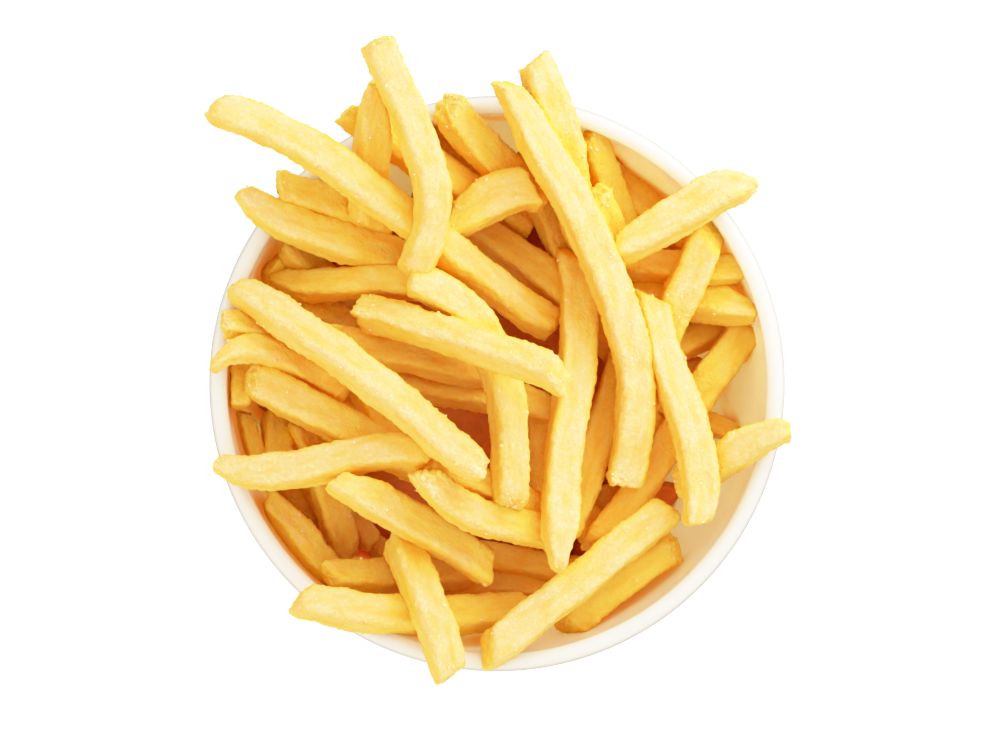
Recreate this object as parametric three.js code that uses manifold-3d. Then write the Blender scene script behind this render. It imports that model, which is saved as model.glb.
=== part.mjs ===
// A helping of french fries heaped in a small round white bowl.
//
// Millimetres, +Z up. The origin is the centre of the bowl's flat underside, and the bowl's axis is +Z.
// The bowl is one turned solid. The fries are one solid as well: a mound that fills the lower bowl,
// with the fries that show fused onto it, each at its true size. Every fry is given by its plan
// position alone; its height and slope come from letting it settle on what was laid before it.

import * as THREE from "three";
import { mergeVertices } from "three/addons/utils/BufferGeometryUtils.js";
import Module from "manifold-3d";

const wasm = await Module();
wasm.setup();

// Bowl
const RIM_HEIGHT = 62;
const RIM_RADIUS = 72.2;
const LIP_RADIUS = 2.2; // the lip is a half round of this radius
const FLOOR_THICKNESS = 6;
const UNDERSIDE_DEPTH = 60; // how far the outer curve would run below the lip, had it no foot
const FOOT_RADIUS = 36;
const FOOT_CHAMFER = 1;
const ROUNDNESS = 2.2; // superellipse exponent of both wall curves: 2 is an ellipse, more is boxier
const TURN_SEGMENTS = 48;
const WALL_STEPS = 9;
const LIP_STEPS = 6;

// Mound under the fries that show
const MOUND_TOP = 43; // height of its surface on the bowl's axis
const MOUND_DROP = 11; // how far the surface falls towards its edge
const MOUND_EDGE = 62; // plan radius of that edge, where the bowl's wall cuts it off
const MOUND_TILT = 0.08; // the heap lies higher towards -X by this slope
const MOUND_RINGS = 5;

// Fries
const THICKNESS_RATIO = 0.94; // a cut fry is a little thinner than it is wide
const CHAMFER_RATIO = 0.2; // corner cut of the section, as a share of its width
const FLAT_SHARE = 0.5 - CHAMFER_RATIO; // half of the flat between two corner cuts
const BOW_PER_RING = 3; // a bar takes one more ring for each of these millimetres that it bows
const MOST_RINGS = 7;
const TIP_LENGTH = 2.5;
const TIP_SCALE = 0.74;
const MAX_SLOPE = 0.48;
const CLEARANCE = 0.35; // gap that the fries keep to the bowl
const STATIONS = 28; // places along a fry where its support is felt
const ROLL_RANGE = 0.3; // radians either way
const ARCH_RANGE = 1.6; // rise of the middle of a 60 mm fry
const SEED = 11;

// Height map on which the fries settle
const CELL = 1;
const MAP_HALF = 110;
const MAP_SIZE = (2 * MAP_HALF) / CELL + 1;

// The plan is drawn as it reads from straight above, from an eye this high over the rim: a piece that
// lies higher reads wider and further out than it is, and is brought back to its true place below.
const EYE_HEIGHT = 700;

// The fries from the bottom up. One row for each, in the order in which they were laid: its two ends
// (x1, y1, x2, y2), how far it bows to the left of that line at one third and at two thirds of it, and
// its width. sink is how far a fry of the layer presses into those under it.
const MOUND_LAYER = [
  [-60, -21, -36, -9, 0, 0, 8],
  [13, 46, 41, 23, 0, 0, 8.5],
  [-63.5, 9, -65.5, -6, 0.5, 0.5, 7],
  [-63, -7, -59.5, -21.5, 0, 0, 5.5],
  [-55.5, -8, -54.2, -25, 0, 0, 7],
  [-50, -9.5, -43, -25, 0, 0, 7.5],
  [-57, -29, -41, -48.5, 0, -0.5, 8],
  [-46, -18, -37, -44, 0.5, 0, 8],
  [-56.5, 31, -54, 21, 0, 0, 7],
  [-53, 34, -36, 19, 0, 0, 8],
  [-50, 21, -22, 6, 0, 0, 8],
  [-60, 10, -24, -13, 0, 0, 7.5],
  [-39, 7, -20, -24, 0, 0, 7],
  [20, 17, 40, 1, 0, 0, 8],
  [23, 57, 49, 35, -1, -1, 8],
  [-20, 63.5, 8, 39, 0, 0, 7.5],
  [6, 59, 20, 26, 0, 0, 7.5],
  [33, 4, 60, 15.5, 0, 0, 7.5],
  [-20, -49, 22, -50.5, 0, 0, 7.5],
  [-4, -43, 26, -48, 0, 0, 6.5],
  [4, -37.5, 38, -27.5, 0, 0, 9],
  [21, -32, 33.5, -52, 0, 0, 8],
  [47, 5, 34, -25, 0, 0, 7.5],
  [11, -3, 13, -36, 0, 0, 8],
  [33, 8, 17, -38, 0, 0, 8],
  [-30, 1.5, 16, -6.5, 0, 0, 8],
];
const CROSSING_LAYER = [
  [-38.5, 68, -6, 46.5, 1.2, 0.6, 9],
  [-55, 49.5, -26, 39.5, 0.4, 0.2, 8],
  [-69, 15, -36, 5, 1, 1, 7],
  [-73, 5, -38, -3, 6.6, 4, 6.5],
  [-62.5, 2, -14, -23, -0.6, -0.3, 9],
  [-51, 12, 2, 0.5, 0.9, 1, 8],
  [-12.5, 70, 10, 45.5, -0.7, -0.4, 9],
  [8.5, 81, 23, 36, 1, 0, 9.5],
  [23, 63.5, 37, 26, 0, -0.8, 7.5],
  [28, 30, 62.5, 28, 0, 0, 7.5],
  [28, 22.5, 65, 19.5, 0, 0, 9],
  [43, -7, 61, -13, 0, 0, 5.5],
  [45.5, -25.5, 73.5, -12, 0.6, 1.3, 8],
  [-17, -20, 14, -33, 0, 0, 7.5],
  [-43, -48.5, -5, -47.5, 0, 0, 8],
  [45, -41, 17.5, -62, -1.2, -1.8, 8],
  [-10, 42.5, 24, 17, 0, 0.4, 8.5],
];
const UPPER_LAYER = [
  [-28.5, 74.5, -33, 40, -1, -0.4, 9],
  [-65, 47, -20, 29, -1.6, -0.2, 9],
  [-57, 25, -14, 23.5, 0.3, 1.4, 7.5],
  [-10, 41.8, 9, 49.3, 0.5, 1.2, 10],
  [24.5, 48, 31, 28, 0, 0, 8],
  [54, 38, 40.5, 10, 0, 0, 8.5],
  [62, 13.5, 25, -42, 0, 0, 8],
  [-17.5, -21.5, 17, -39, -5, -2.8, 8],
  [-50.5, -54.5, 6.5, -57, -2.1, -2.2, 9],
  [-22, 27, 3.5, -31, 11.4, 8.4, 8.5],
  [38, 22.5, 51.5, -35.5, 0.8, 2.6, 8.5],
];
const LONG_LAYER = [
  [-72, 70.5, 15, 14, 4, 1.5, 8.7],
  [-71, -21.5, -16, -18, -1.6, 1.2, 8.7],
  [-25, -37, -12, -74, 0.6, 1, 9],
  [-41, -24, -2.5, -46, 0.3, 0.6, 8.7],
  [43.5, -31.5, -3, -67.2, 0.1, 0.9, 8.7],
  [19.5, 33, 17.5, -47, 1.3, -1.5, 8.6],
  [-34, 17.5, 16.5, 1.5, 1.5, 1.4, 8.7],
  [30, 34.5, 65, 51, -0.4, 1.2, 9],
  [-66, 24, -4, -22, 2, 1.4, 8.8],
];
const TOP_LAYER = [
  [-30, 86.5, -22, 27.5, 5.3, 8.4, 8.2],
  [2.5, 76, 32, -25.5, 7.6, 11.2, 8.8],
];
const LAYERS = [
  { sink: 3.6, fries: MOUND_LAYER },
  { sink: 3, fries: CROSSING_LAYER },
  { sink: 2.2, fries: UPPER_LAYER },
  { sink: 1.5, fries: LONG_LAYER },
  { sink: 1.2, fries: TOP_LAYER },
];

const LIP_CENTRE_HEIGHT = RIM_HEIGHT - LIP_RADIUS;
const LIP_CENTRE_RADIUS = RIM_RADIUS - LIP_RADIUS;
const INNER_RADIUS = RIM_RADIUS - 2 * LIP_RADIUS;
const INNER_DEPTH = LIP_CENTRE_HEIGHT - FLOOR_THICKNESS;

// A wall curve, from the lip (turn 0) down and in to the axis (turn PI / 2).
function wallPoint(radius, depth, turn) {
  return new THREE.Vector2(
    radius * Math.max(Math.cos(turn), 0) ** (2 / ROUNDNESS),
    LIP_CENTRE_HEIGHT - depth * Math.sin(turn) ** (2 / ROUNDNESS),
  );
}

function lipPoints(radius, steps) {
  return Array.from({ length: steps + 1 }, (_, i) => {
    const angle = (i / steps) * Math.PI;
    return new THREE.Vector2(
      LIP_CENTRE_RADIUS + radius * Math.cos(angle),
      LIP_CENTRE_HEIGHT + radius * Math.sin(angle),
    );
  });
}

function innerWallPoints(inset) {
  return Array.from({ length: WALL_STEPS }, (_, i) => {
    const turn = (((i + 1) / WALL_STEPS) * Math.PI) / 2;
    return wallPoint(INNER_RADIUS - inset, INNER_DEPTH - inset, turn);
  });
}

function outerWallPoints() {
  const footTurn = Math.acos((FOOT_RADIUS / RIM_RADIUS) ** (ROUNDNESS / 2));
  return Array.from({ length: WALL_STEPS }, (_, i) =>
    wallPoint(RIM_RADIUS, UNDERSIDE_DEPTH, footTurn * (1 - i / WALL_STEPS)),
  );
}

function turned(profile) {
  return new THREE.LatheGeometry(profile, TURN_SEGMENTS).rotateX(Math.PI / 2);
}

function bowlGeometry() {
  return turned([
    new THREE.Vector2(0, 0),
    new THREE.Vector2(FOOT_RADIUS - FOOT_CHAMFER, 0),
    new THREE.Vector2(FOOT_RADIUS, FOOT_CHAMFER),
    ...outerWallPoints(),
    ...lipPoints(LIP_RADIUS, LIP_STEPS),
    ...innerWallPoints(0),
  ]);
}

// What the fries must stay clear of: the bowl's inside and lip, grown by the clearance, and all below.
function keepOutGeometry() {
  return turned([
    new THREE.Vector2(0, -CLEARANCE),
    new THREE.Vector2(RIM_RADIUS + CLEARANCE, -CLEARANCE),
    ...lipPoints(LIP_RADIUS + CLEARANCE, LIP_STEPS),
    ...innerWallPoints(CLEARANCE),
  ]);
}

// Height of the bowl's inside or lip at a plan radius, and 0 outside the bowl.
function bowlHeight(radius) {
  if (radius < INNER_RADIUS) {
    const share = 1 - (radius / INNER_RADIUS) ** ROUNDNESS;
    return LIP_CENTRE_HEIGHT - INNER_DEPTH * share ** (1 / ROUNDNESS);
  }
  if (radius < RIM_RADIUS) {
    return LIP_CENTRE_HEIGHT + Math.sqrt(LIP_RADIUS ** 2 - (radius - LIP_CENTRE_RADIUS) ** 2);
  }
  return 0;
}

function moundHeight(x, y) {
  const radius = Math.hypot(x, y);
  return MOUND_TOP - MOUND_DROP * (radius / MOUND_EDGE) ** 2 - MOUND_TILT * x;
}

// A disc whose upper side follows the mound; the bowl's wall trims its edge and underside.
function moundGeometry() {
  const rings = Array.from({ length: MOUND_RINGS }, (_, i) => {
    const radius = (MOUND_EDGE * (MOUND_RINGS - i)) / MOUND_RINGS;
    return new THREE.Vector2(radius, 1);
  });
  const disc = turned([
    new THREE.Vector2(0, 0),
    new THREE.Vector2(MOUND_EDGE, 0),
    ...rings,
    new THREE.Vector2(0, 1),
  ]);
  const place = disc.getAttribute("position");
  for (let i = 0; i < place.count; i++) {
    if (place.getZ(i) > 0.5) place.setZ(i, moundHeight(place.getX(i), place.getY(i)));
  }
  return disc;
}

// Repeatable draws between 0 and 1.
function drawer(seed) {
  let state = seed;
  return () => {
    state = (state * 16807) % 2147483647;
    return state / 2147483647;
  };
}

// Height map: what lies at each plan cell so far, kept apart for the bowl and for the heap.
const bowlMap = new Float64Array(MAP_SIZE * MAP_SIZE);
const heapMap = new Float64Array(MAP_SIZE * MAP_SIZE);

function cellIndex(x, y) {
  const column = Math.round((x + MAP_HALF) / CELL);
  const row = Math.round((y + MAP_HALF) / CELL);
  return row * MAP_SIZE + column;
}

for (let row = 0; row < MAP_SIZE; row++) {
  for (let column = 0; column < MAP_SIZE; column++) {
    const x = column * CELL - MAP_HALF;
    const y = row * CELL - MAP_HALF;
    const radius = Math.hypot(x, y);
    const cell = row * MAP_SIZE + column;
    bowlMap[cell] = bowlHeight(radius);
    heapMap[cell] = radius < MOUND_EDGE ? moundHeight(x, y) : 0;
  }
}

// Sideways bow at share s of the length, through 0, bowA at 1/3, bowB at 2/3 and 0.
function bowAt(s, bowA, bowB) {
  return 13.5 * s * (1 - s) * (bowA * (2 / 3 - s) + bowB * (s - 1 / 3));
}

// The straight edge that lies on the points (share, height) and carries their middle: the side of
// their upper hull that spans share 0.5, kept within the steepest slope that a fry can rest at.
function restingLine(points, length) {
  const hull = [];
  for (const point of points) {
    while (hull.length > 1) {
      const [a, b] = hull.slice(-2);
      const turn = (b[0] - a[0]) * (point[1] - a[1]) - (b[1] - a[1]) * (point[0] - a[0]);
      if (turn < 0) break;
      hull.pop();
    }
    hull.push(point);
  }
  const right = hull.findIndex(([s]) => s >= 0.5);
  const [a, b] = [hull[right - 1], hull[right]];
  const steepest = MAX_SLOPE * length;
  const rise = THREE.MathUtils.clamp((b[1] - a[1]) / (b[0] - a[0]), -steepest, steepest);
  const start = Math.max(...points.map(([s, height]) => height - rise * s));
  return { start, rise };
}

// Settles one fry: works out its true plan, height and slope, and adds it to the height map.
function settle([x1, y1, x2, y2, bowA, bowB, width], { arch, roll, sink }) {
  const span = Math.hypot(x2 - x1, y2 - y1);
  const across = new THREE.Vector2(-(y2 - y1) / span, (x2 - x1) / span);
  const thickness = width * THICKNESS_RATIO;
  const tip = TIP_LENGTH / span;
  const rise = (s) => arch * 4 * s * (1 - s);
  let line = { start: RIM_HEIGHT - thickness, rise: 0 };

  const at = (s) => {
    const bottom = line.start + line.rise * s + rise(s);
    const scale = 1 - (bottom + thickness - RIM_HEIGHT) / EYE_HEIGHT;
    const bow = bowAt(s, bowA, bowB);
    return {
      x: (x1 + (x2 - x1) * s + across.x * bow) * scale,
      y: (y1 + (y2 - y1) * s + across.y * bow) * scale,
      z: bottom + thickness / 2,
      width: width * scale,
      thickness: thickness * scale,
    };
  };

  for (let pass = 0; pass < 3; pass++) {
    const supports = Array.from({ length: STATIONS + 1 }, (_, i) => {
      const s = tip + ((1 - 2 * tip) * i) / STATIONS;
      const station = at(s);
      let support = 0;
      for (let side = -2; side <= 2; side++) {
        const reach = (side / 2) * FLAT_SHARE * station.width;
        const cell = cellIndex(station.x + across.x * reach, station.y + across.y * reach);
        const felt = Math.max(bowlMap[cell] + CLEARANCE, heapMap[cell] - sink);
        support = Math.max(support, felt - reach * Math.sin(roll));
      }
      return [s, support - rise(s)];
    });
    line = restingLine(supports, span);
  }

  const fineSteps = Math.ceil((span * 2) / CELL);
  for (let i = 0; i <= fineSteps; i++) {
    const station = at(i / fineSteps);
    for (let side = -8; side <= 8; side++) {
      const offset = side / 16;
      const corner = Math.max(Math.abs(offset) - FLAT_SHARE, 0);
      const reach = offset * station.width;
      const cell = cellIndex(station.x + across.x * reach, station.y + across.y * reach);
      const top = station.z + station.thickness * (0.5 - corner) + reach * Math.sin(roll);
      heapMap[cell] = Math.max(heapMap[cell], top);
    }
  }
  return { at, span, bow: Math.abs(bowA) + Math.abs(bowB) };
}

// A fry's section: a square of side 1 with its corners cut.
function sectionShape() {
  const half = 0.5;
  const inner = FLAT_SHARE;
  const corners = [
    [half, -inner], [half, inner], [inner, half], [-inner, half],
    [-half, inner], [-half, -inner], [-inner, -half], [inner, -half],
  ];
  return new THREE.Shape(corners.map(([x, y]) => new THREE.Vector2(x, y)));
}

// A straight bar of that section, bent along the settled fry and narrowed at its tips.
function fryGeometry({ at, span, bow }, roll) {
  const bends = Math.round(bow / BOW_PER_RING);
  const steps = Math.min(1 + bends, MOST_RINGS) + 2;
  const tip = TIP_LENGTH / span;
  const shareOfRing = (ring) => {
    if (ring === 0 || ring === steps) return ring / steps;
    return tip + ((1 - 2 * tip) * (ring - 1)) / (steps - 2);
  };
  const bar = new THREE.ExtrudeGeometry(sectionShape(), { depth: 1, steps, bevelEnabled: false });
  const place = bar.getAttribute("position");
  const vertex = new THREE.Vector3();
  for (let i = 0; i < place.count; i++) {
    const ring = Math.round(place.getZ(i) * steps);
    const s = shareOfRing(ring);
    const here = at(s);
    const before = at(Math.max(s - 0.02, 0));
    const after = at(Math.min(s + 0.02, 1));
    const along = new THREE.Vector3(after.x - before.x, after.y - before.y, after.z - before.z).normalize();
    const side = new THREE.Vector3(-along.y, along.x, 0).normalize();
    const up = new THREE.Vector3().crossVectors(along, side);
    side.applyAxisAngle(along, roll);
    up.applyAxisAngle(along, roll);
    const scale = ring === 0 || ring === steps ? TIP_SCALE : 1;
    vertex.set(here.x, here.y, here.z);
    vertex.addScaledVector(side, place.getX(i) * here.width * scale);
    vertex.addScaledVector(up, place.getY(i) * here.thickness * scale);
    place.setXYZ(i, vertex.x, vertex.y, vertex.z);
  }
  return bar;
}

function solidFrom(geometry) {
  geometry.deleteAttribute("normal");
  geometry.deleteAttribute("uv");
  const merged = mergeVertices(geometry);
  const made = new wasm.Manifold(
    new wasm.Mesh({
      numProp: 3,
      vertProperties: merged.getAttribute("position").array,
      triVerts: new Uint32Array(merged.index.array),
    }),
  );
  if (made.volume() < 0) throw new Error("a piece is inside out");
  return made;
}

function geometryFrom(solid) {
  const mesh = solid.getMesh();
  const geometry = new THREE.BufferGeometry();
  geometry.setAttribute("position", new THREE.BufferAttribute(mesh.vertProperties, 3));
  geometry.setIndex(new THREE.BufferAttribute(mesh.triVerts, 1));
  geometry.computeVertexNormals();
  return geometry;
}

// The mound and the fries as one body. Gaps that the joining seals are filled and loose scraps dropped.
function heapSolid() {
  const draw = drawer(SEED);
  let heap = solidFrom(moundGeometry());
  for (const { sink, fries } of LAYERS) {
    for (const row of fries) {
      const roll = (draw() * 2 - 1) * ROLL_RANGE;
      const length = Math.hypot(row[2] - row[0], row[3] - row[1]);
      const arch = (draw() * 2 - 1) * ARCH_RANGE * (length / 60) ** 2;
      heap = heap.add(solidFrom(fryGeometry(settle(row, { arch, roll, sink }), roll)));
    }
  }
  const bodies = heap.subtract(solidFrom(keepOutGeometry())).decompose();
  return bodies.reduce((largest, body) => (body.volume() > largest.volume() ? body : largest));
}

const ceramic = new THREE.MeshStandardMaterial({ color: 0xf8f6f0, roughness: 0.18, metalness: 0 });
const friedPotato = new THREE.MeshStandardMaterial({ color: 0xf7cf6b, roughness: 0.5, metalness: 0 });

const bowl = new THREE.Mesh(bowlGeometry(), ceramic);
bowl.name = "bowl";

const fries = new THREE.Mesh(geometryFrom(heapSolid()), friedPotato);
fries.name = "fries";

const group = new THREE.Group();
group.add(bowl, fries);

export default group;
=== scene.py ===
import math

import bpy
import numpy as np
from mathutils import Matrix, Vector
from mathutils.bvhtree import BVHTree


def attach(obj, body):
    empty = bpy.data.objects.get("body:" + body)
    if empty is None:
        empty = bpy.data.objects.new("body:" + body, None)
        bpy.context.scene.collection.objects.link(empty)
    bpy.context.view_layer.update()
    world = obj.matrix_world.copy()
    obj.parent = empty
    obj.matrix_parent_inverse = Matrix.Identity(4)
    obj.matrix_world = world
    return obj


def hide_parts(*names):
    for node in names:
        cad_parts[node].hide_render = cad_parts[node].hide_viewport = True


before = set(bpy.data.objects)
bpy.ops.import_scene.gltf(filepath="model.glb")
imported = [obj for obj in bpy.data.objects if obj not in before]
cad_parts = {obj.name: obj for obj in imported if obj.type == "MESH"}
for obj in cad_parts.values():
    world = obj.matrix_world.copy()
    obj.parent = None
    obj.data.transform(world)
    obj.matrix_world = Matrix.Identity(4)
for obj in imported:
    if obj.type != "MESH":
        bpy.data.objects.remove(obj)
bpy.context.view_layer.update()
mm = 0.001
print("frame loaded")


def hexColour(text):
    levels = [int(text[i:i + 2], 16) / 255 for i in (1, 3, 5)]
    linear = [v / 12.92 if v <= 0.04045 else ((v + 0.055) / 1.055) ** 2.4 for v in levels]
    return (*linear, 1.0)


def addNode(tree, kind, inputs=None, **settings):
    node = tree.nodes.new(kind)
    for name, value in settings.items():
        setattr(node, name, value)
    for key, value in (inputs or {}).items():
        if isinstance(value, bpy.types.NodeSocket):
            tree.links.new(value, node.inputs[key])
        else:
            node.inputs[key].default_value = value
    return node


def newMaterial(name):
    material = bpy.data.materials.new(name)
    material.use_nodes = True
    return material, material.node_tree, material.node_tree.nodes["Principled BSDF"]


def newPiece(name, mesh):
    piece = bpy.data.objects.new(name, mesh)
    bpy.context.scene.collection.objects.link(piece)
    return piece


def newMesh(name, vertices, faces, material):
    mesh = bpy.data.meshes.new(name)
    mesh.from_pydata(np.asarray(vertices, dtype=float).tolist(), [], faces)
    mesh.shade_smooth()
    mesh.materials.append(material)
    return mesh


# Camera, floor and light

viewSettings = {
    "cameraPlace": (0.75, 3.4, 762.0),  # mm, straight above the bowl
    "lens": 100.8,
    "aimHeight": 60,  # mm, the lamps point at the middle of the heap
    "floorHalf": 3,  # m
    "floorColour": "#a9a8a6",
    "floorRoughness": 0.7,
    "floorGlowColour": "#ffffff",
    "floorGlow": 0.35,
    "floorGlowSeen": 1.45,  # the lens sees the table brighter than the bowl does
    "skyColour": "#ffffff",
    "skyStrength": 1.31,
    "skySeen": 2.0,  # behind the object the studio is as white as the table
    "bounces": 24,  # light goes many times between the fries, and that colours the gaps
    "bouncesInAll": 28,
    "brightest": 1.9,  # shows as white
    "softening": [  # highlights roll off: light that comes in, and light that shows
        (0.06, 0.138), (0.125, 0.285), (0.25, 0.55), (0.375, 0.75), (0.5, 0.87), (0.7, 0.955),
    ],
}
lamps = {  # place and size in mm, power in watts
    "keyLight": {"place": (180, 190, 200), "size": 250, "power": 0.9, "colour": "#ffffff"},
    "fillLight": {"place": (-300, -380, 280), "size": 460, "power": 0.6, "colour": "#ffcc90"},
}

camera = newPiece("camera", bpy.data.cameras.new("camera"))
camera.location = [v * mm for v in viewSettings["cameraPlace"]]
camera.data.lens = viewSettings["lens"]
camera.data.clip_start = 0.01
bpy.context.scene.camera = camera
film = bpy.context.scene.view_settings
film.view_transform = "Standard"
film.use_curve_mapping = True
film.curve_mapping.white_level = (viewSettings["brightest"],) * 3
for place, level in viewSettings["softening"]:
    film.curve_mapping.curves[3].points.new(place, level)
film.curve_mapping.update()
bpy.context.scene.cycles.diffuse_bounces = viewSettings["bounces"]
bpy.context.scene.cycles.max_bounces = viewSettings["bouncesInAll"]

for name, lamp in lamps.items():
    light = bpy.data.lights.new(name, "AREA")
    light.shape = "DISK"
    light.size = lamp["size"] * mm
    light.energy = lamp["power"]
    light.color = hexColour(lamp["colour"])[:3]
    stand = newPiece(name, light)
    stand.visible_camera = False
    stand.location = [v * mm for v in lamp["place"]]
    aim = Vector((0, 0, viewSettings["aimHeight"] * mm)) - stand.location
    stand.rotation_euler = aim.to_track_quat("-Z", "Y").to_euler()

world = bpy.data.worlds.new("studio")
world.use_nodes = True
sky = world.node_tree.nodes["Background"]
sky.inputs["Color"].default_value = hexColour(viewSettings["skyColour"])
seen = addNode(world.node_tree, "ShaderNodeLightPath").outputs["Is Camera Ray"]
skyLevel = addNode(world.node_tree, "ShaderNodeMapRange", {
    "Value": seen, "To Min": viewSettings["skyStrength"], "To Max": viewSettings["skySeen"],
})
world.node_tree.links.new(skyLevel.outputs[0], sky.inputs["Strength"])
bpy.context.scene.world = world

# Painted table top: matt and even, a plain pale ground that hardly takes a shadow.
paintedTable, tree, surface = newMaterial("paintedTable")
surface.inputs["Base Color"].default_value = hexColour(viewSettings["floorColour"])
surface.inputs["Roughness"].default_value = viewSettings["floorRoughness"]
surface.inputs["Emission Color"].default_value = hexColour(viewSettings["floorGlowColour"])
seen = addNode(tree, "ShaderNodeLightPath").outputs["Is Camera Ray"]
glow = addNode(tree, "ShaderNodeMapRange", {
    "Value": seen, "To Min": viewSettings["floorGlow"], "To Max": viewSettings["floorGlowSeen"],
})
tree.links.new(glow.outputs[0], surface.inputs["Emission Strength"])
half = viewSettings["floorHalf"]
floorCorners = [(-half, -half, 0), (half, -half, 0), (half, half, 0), (-half, half, 0)]
floor = newPiece("floor", newMesh("floor", floorCorners, [(0, 1, 2, 3)], paintedTable))
print("camera, floor and light done")


# Bowl

bowlSizes = {  # mm
    "rimHeight": 62,
    "rimRadius": 72.2,
    "lipRadius": 2.2,
    "floorThickness": 6,
    "undersideDepth": 60,  # how far the outer curve would run below the lip, had it no foot
    "footRadius": 36,
    "footChamfer": 1,
    "footWidth": 4,
    "footDepth": 2.2,
    "hollowRound": 1.2,  # where the hollow of the foot meets its ring
    "ringRound": 0.5,
    "footEase": 0.3,  # corners of the foot are worn by this much
    "wipedHeight": 0.48,  # faces that look down are bare of glaze up to here
    "roundness": 2.2,  # superellipse exponent of both wall curves
    "turnSteps": 192,
    "wallSteps": 40,
    "lipSteps": 12,
}
lipHeight = bowlSizes["rimHeight"] - bowlSizes["lipRadius"]
lipCentre = bowlSizes["rimRadius"] - bowlSizes["lipRadius"]
innerRadius = lipCentre - bowlSizes["lipRadius"]
innerDepth = lipHeight - bowlSizes["floorThickness"]


def wallPoint(radius, depth, turn):
    power = 2 / bowlSizes["roundness"]
    return radius * max(math.cos(turn), 0) ** power, lipHeight - depth * math.sin(turn) ** power


def bowlProfile(s):
    foot, ring = s["footRadius"], s["footRadius"] - s["footWidth"]
    points = [
        (0, s["footDepth"]), (ring * 0.5, s["footDepth"]), (ring - s["hollowRound"], s["footDepth"]),
        (ring - s["footEase"], s["footDepth"] - s["ringRound"]), (ring, s["ringRound"]),
        (ring + s["ringRound"], 0), (foot - s["footChamfer"], 0),
        (foot - s["footEase"], s["footEase"]), (foot, s["footChamfer"]),
    ]
    footTurn = math.acos((foot / s["rimRadius"]) ** (s["roundness"] / 2))
    for i in range(s["wallSteps"]):
        turn = footTurn * (1 - i / s["wallSteps"])
        points.append(wallPoint(s["rimRadius"], s["undersideDepth"], turn))
    for i in range(s["lipSteps"] + 1):
        angle = math.pi * i / s["lipSteps"]
        points.append((
            lipCentre + s["lipRadius"] * math.cos(angle),
            lipHeight + s["lipRadius"] * math.sin(angle),
        ))
    for i in range(s["wallSteps"]):
        points.append(wallPoint(innerRadius, innerDepth, math.pi / 2 * (i + 1) / s["wallSteps"]))
    return points


# Turns a profile that starts and ends on the axis into a closed mesh.
def turnedMesh(name, profile, steps, material):
    angles = np.arange(steps) * 2 * math.pi / steps
    vertices = [(0, 0, profile[0][1])]
    for radius, height in profile[1:-1]:
        ring = np.column_stack([radius * np.cos(angles), radius * np.sin(angles)])
        vertices += [(x, y, height) for x, y in ring]
    vertices.append((0, 0, profile[-1][1]))
    faces = []
    last = len(vertices) - 1
    for i in range(steps):
        j = (i + 1) % steps
        faces.append((0, 1 + j, 1 + i))
        for ring in range(len(profile) - 3):
            low, high = 1 + ring * steps, 1 + (ring + 1) * steps
            faces.append((low + i, low + j, high + j, high + i))
        faces.append((last - steps + i, last - steps + j, last))
    return newMesh(name, np.array(vertices) * mm, faces, material)


# White glazed porcelain, dipped and fired: a hard clear gloss over a body that is never quite white and
# lets warm light through. Inside, warm light bounced from the fries is painted in as a creamier tint
# deeper down, and where the fries shade the wall a warm orange shade is painted. Outside, just under the
# lip, a painted grey shade outlines the lip.
glazeLooks = {
    "white": "#dcd8cc",
    "shadedWhite": "#d6d2c5",
    # painted warm light bounced from the fries onto the inner wall, fuller with depth
    "bounceCream": "#ffe6c6",
    "bounceCreamDepth": (0.8, 17.0),  # mm below the lip, from none to all
    "warmShade": "#e39a48",  # painted warm shade, where the wall sees little sky
    "deepShade": "#c8680f",  # painted deep shade near the bottom, where little sky is seen
    "warmShadeSky": (0.17, 0.04),  # share of the sky seen, from none to most
    "warmShadeDepth": (4.0, 12.0),
    "warmShadeMost": 0.9,
    # painted shade close to the fries
    "nearFryShadeGap": (5.5, 1.5),  # mm from the next fry, from none to most
    "nearFryShadeDepth": (1.6, 4.5),
    "nearFryShadeMost": 0.8,
    "nearShadeSide": (-0.022, -0.048),  # m, painted shade close to the fries, only on the side where fries lie over the rim
    "deepShadeSky": (0.2, 0.1),
    "deepShadeDepth": (24.0, 34.0),
    "deepShadeMost": 0.9,
    "lipShade": "#9c9990",  # painted grey shade on the outside, just under the lip
    "lipShadeLine": (0.3, 1.4, 2.3, 4.5),  # mm below the lip: from none to most, and from most to none
    "cloudScale": 40.0,  # clouds of about 25 mm
    "rippleScale": 140.0,  # ripples of about 7 mm
    "rippleHeight": 0.0002,  # m
    "rippleStrength": 0.25,
    "roughness": 0.16,
    "refraction": 1.5,
    "lightInside": 0.024,  # m that light travels in the body
    "lightOutside": 0.003,
    "lightTint": (1.0, 0.62, 0.42),  # red light goes furthest
}
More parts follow.
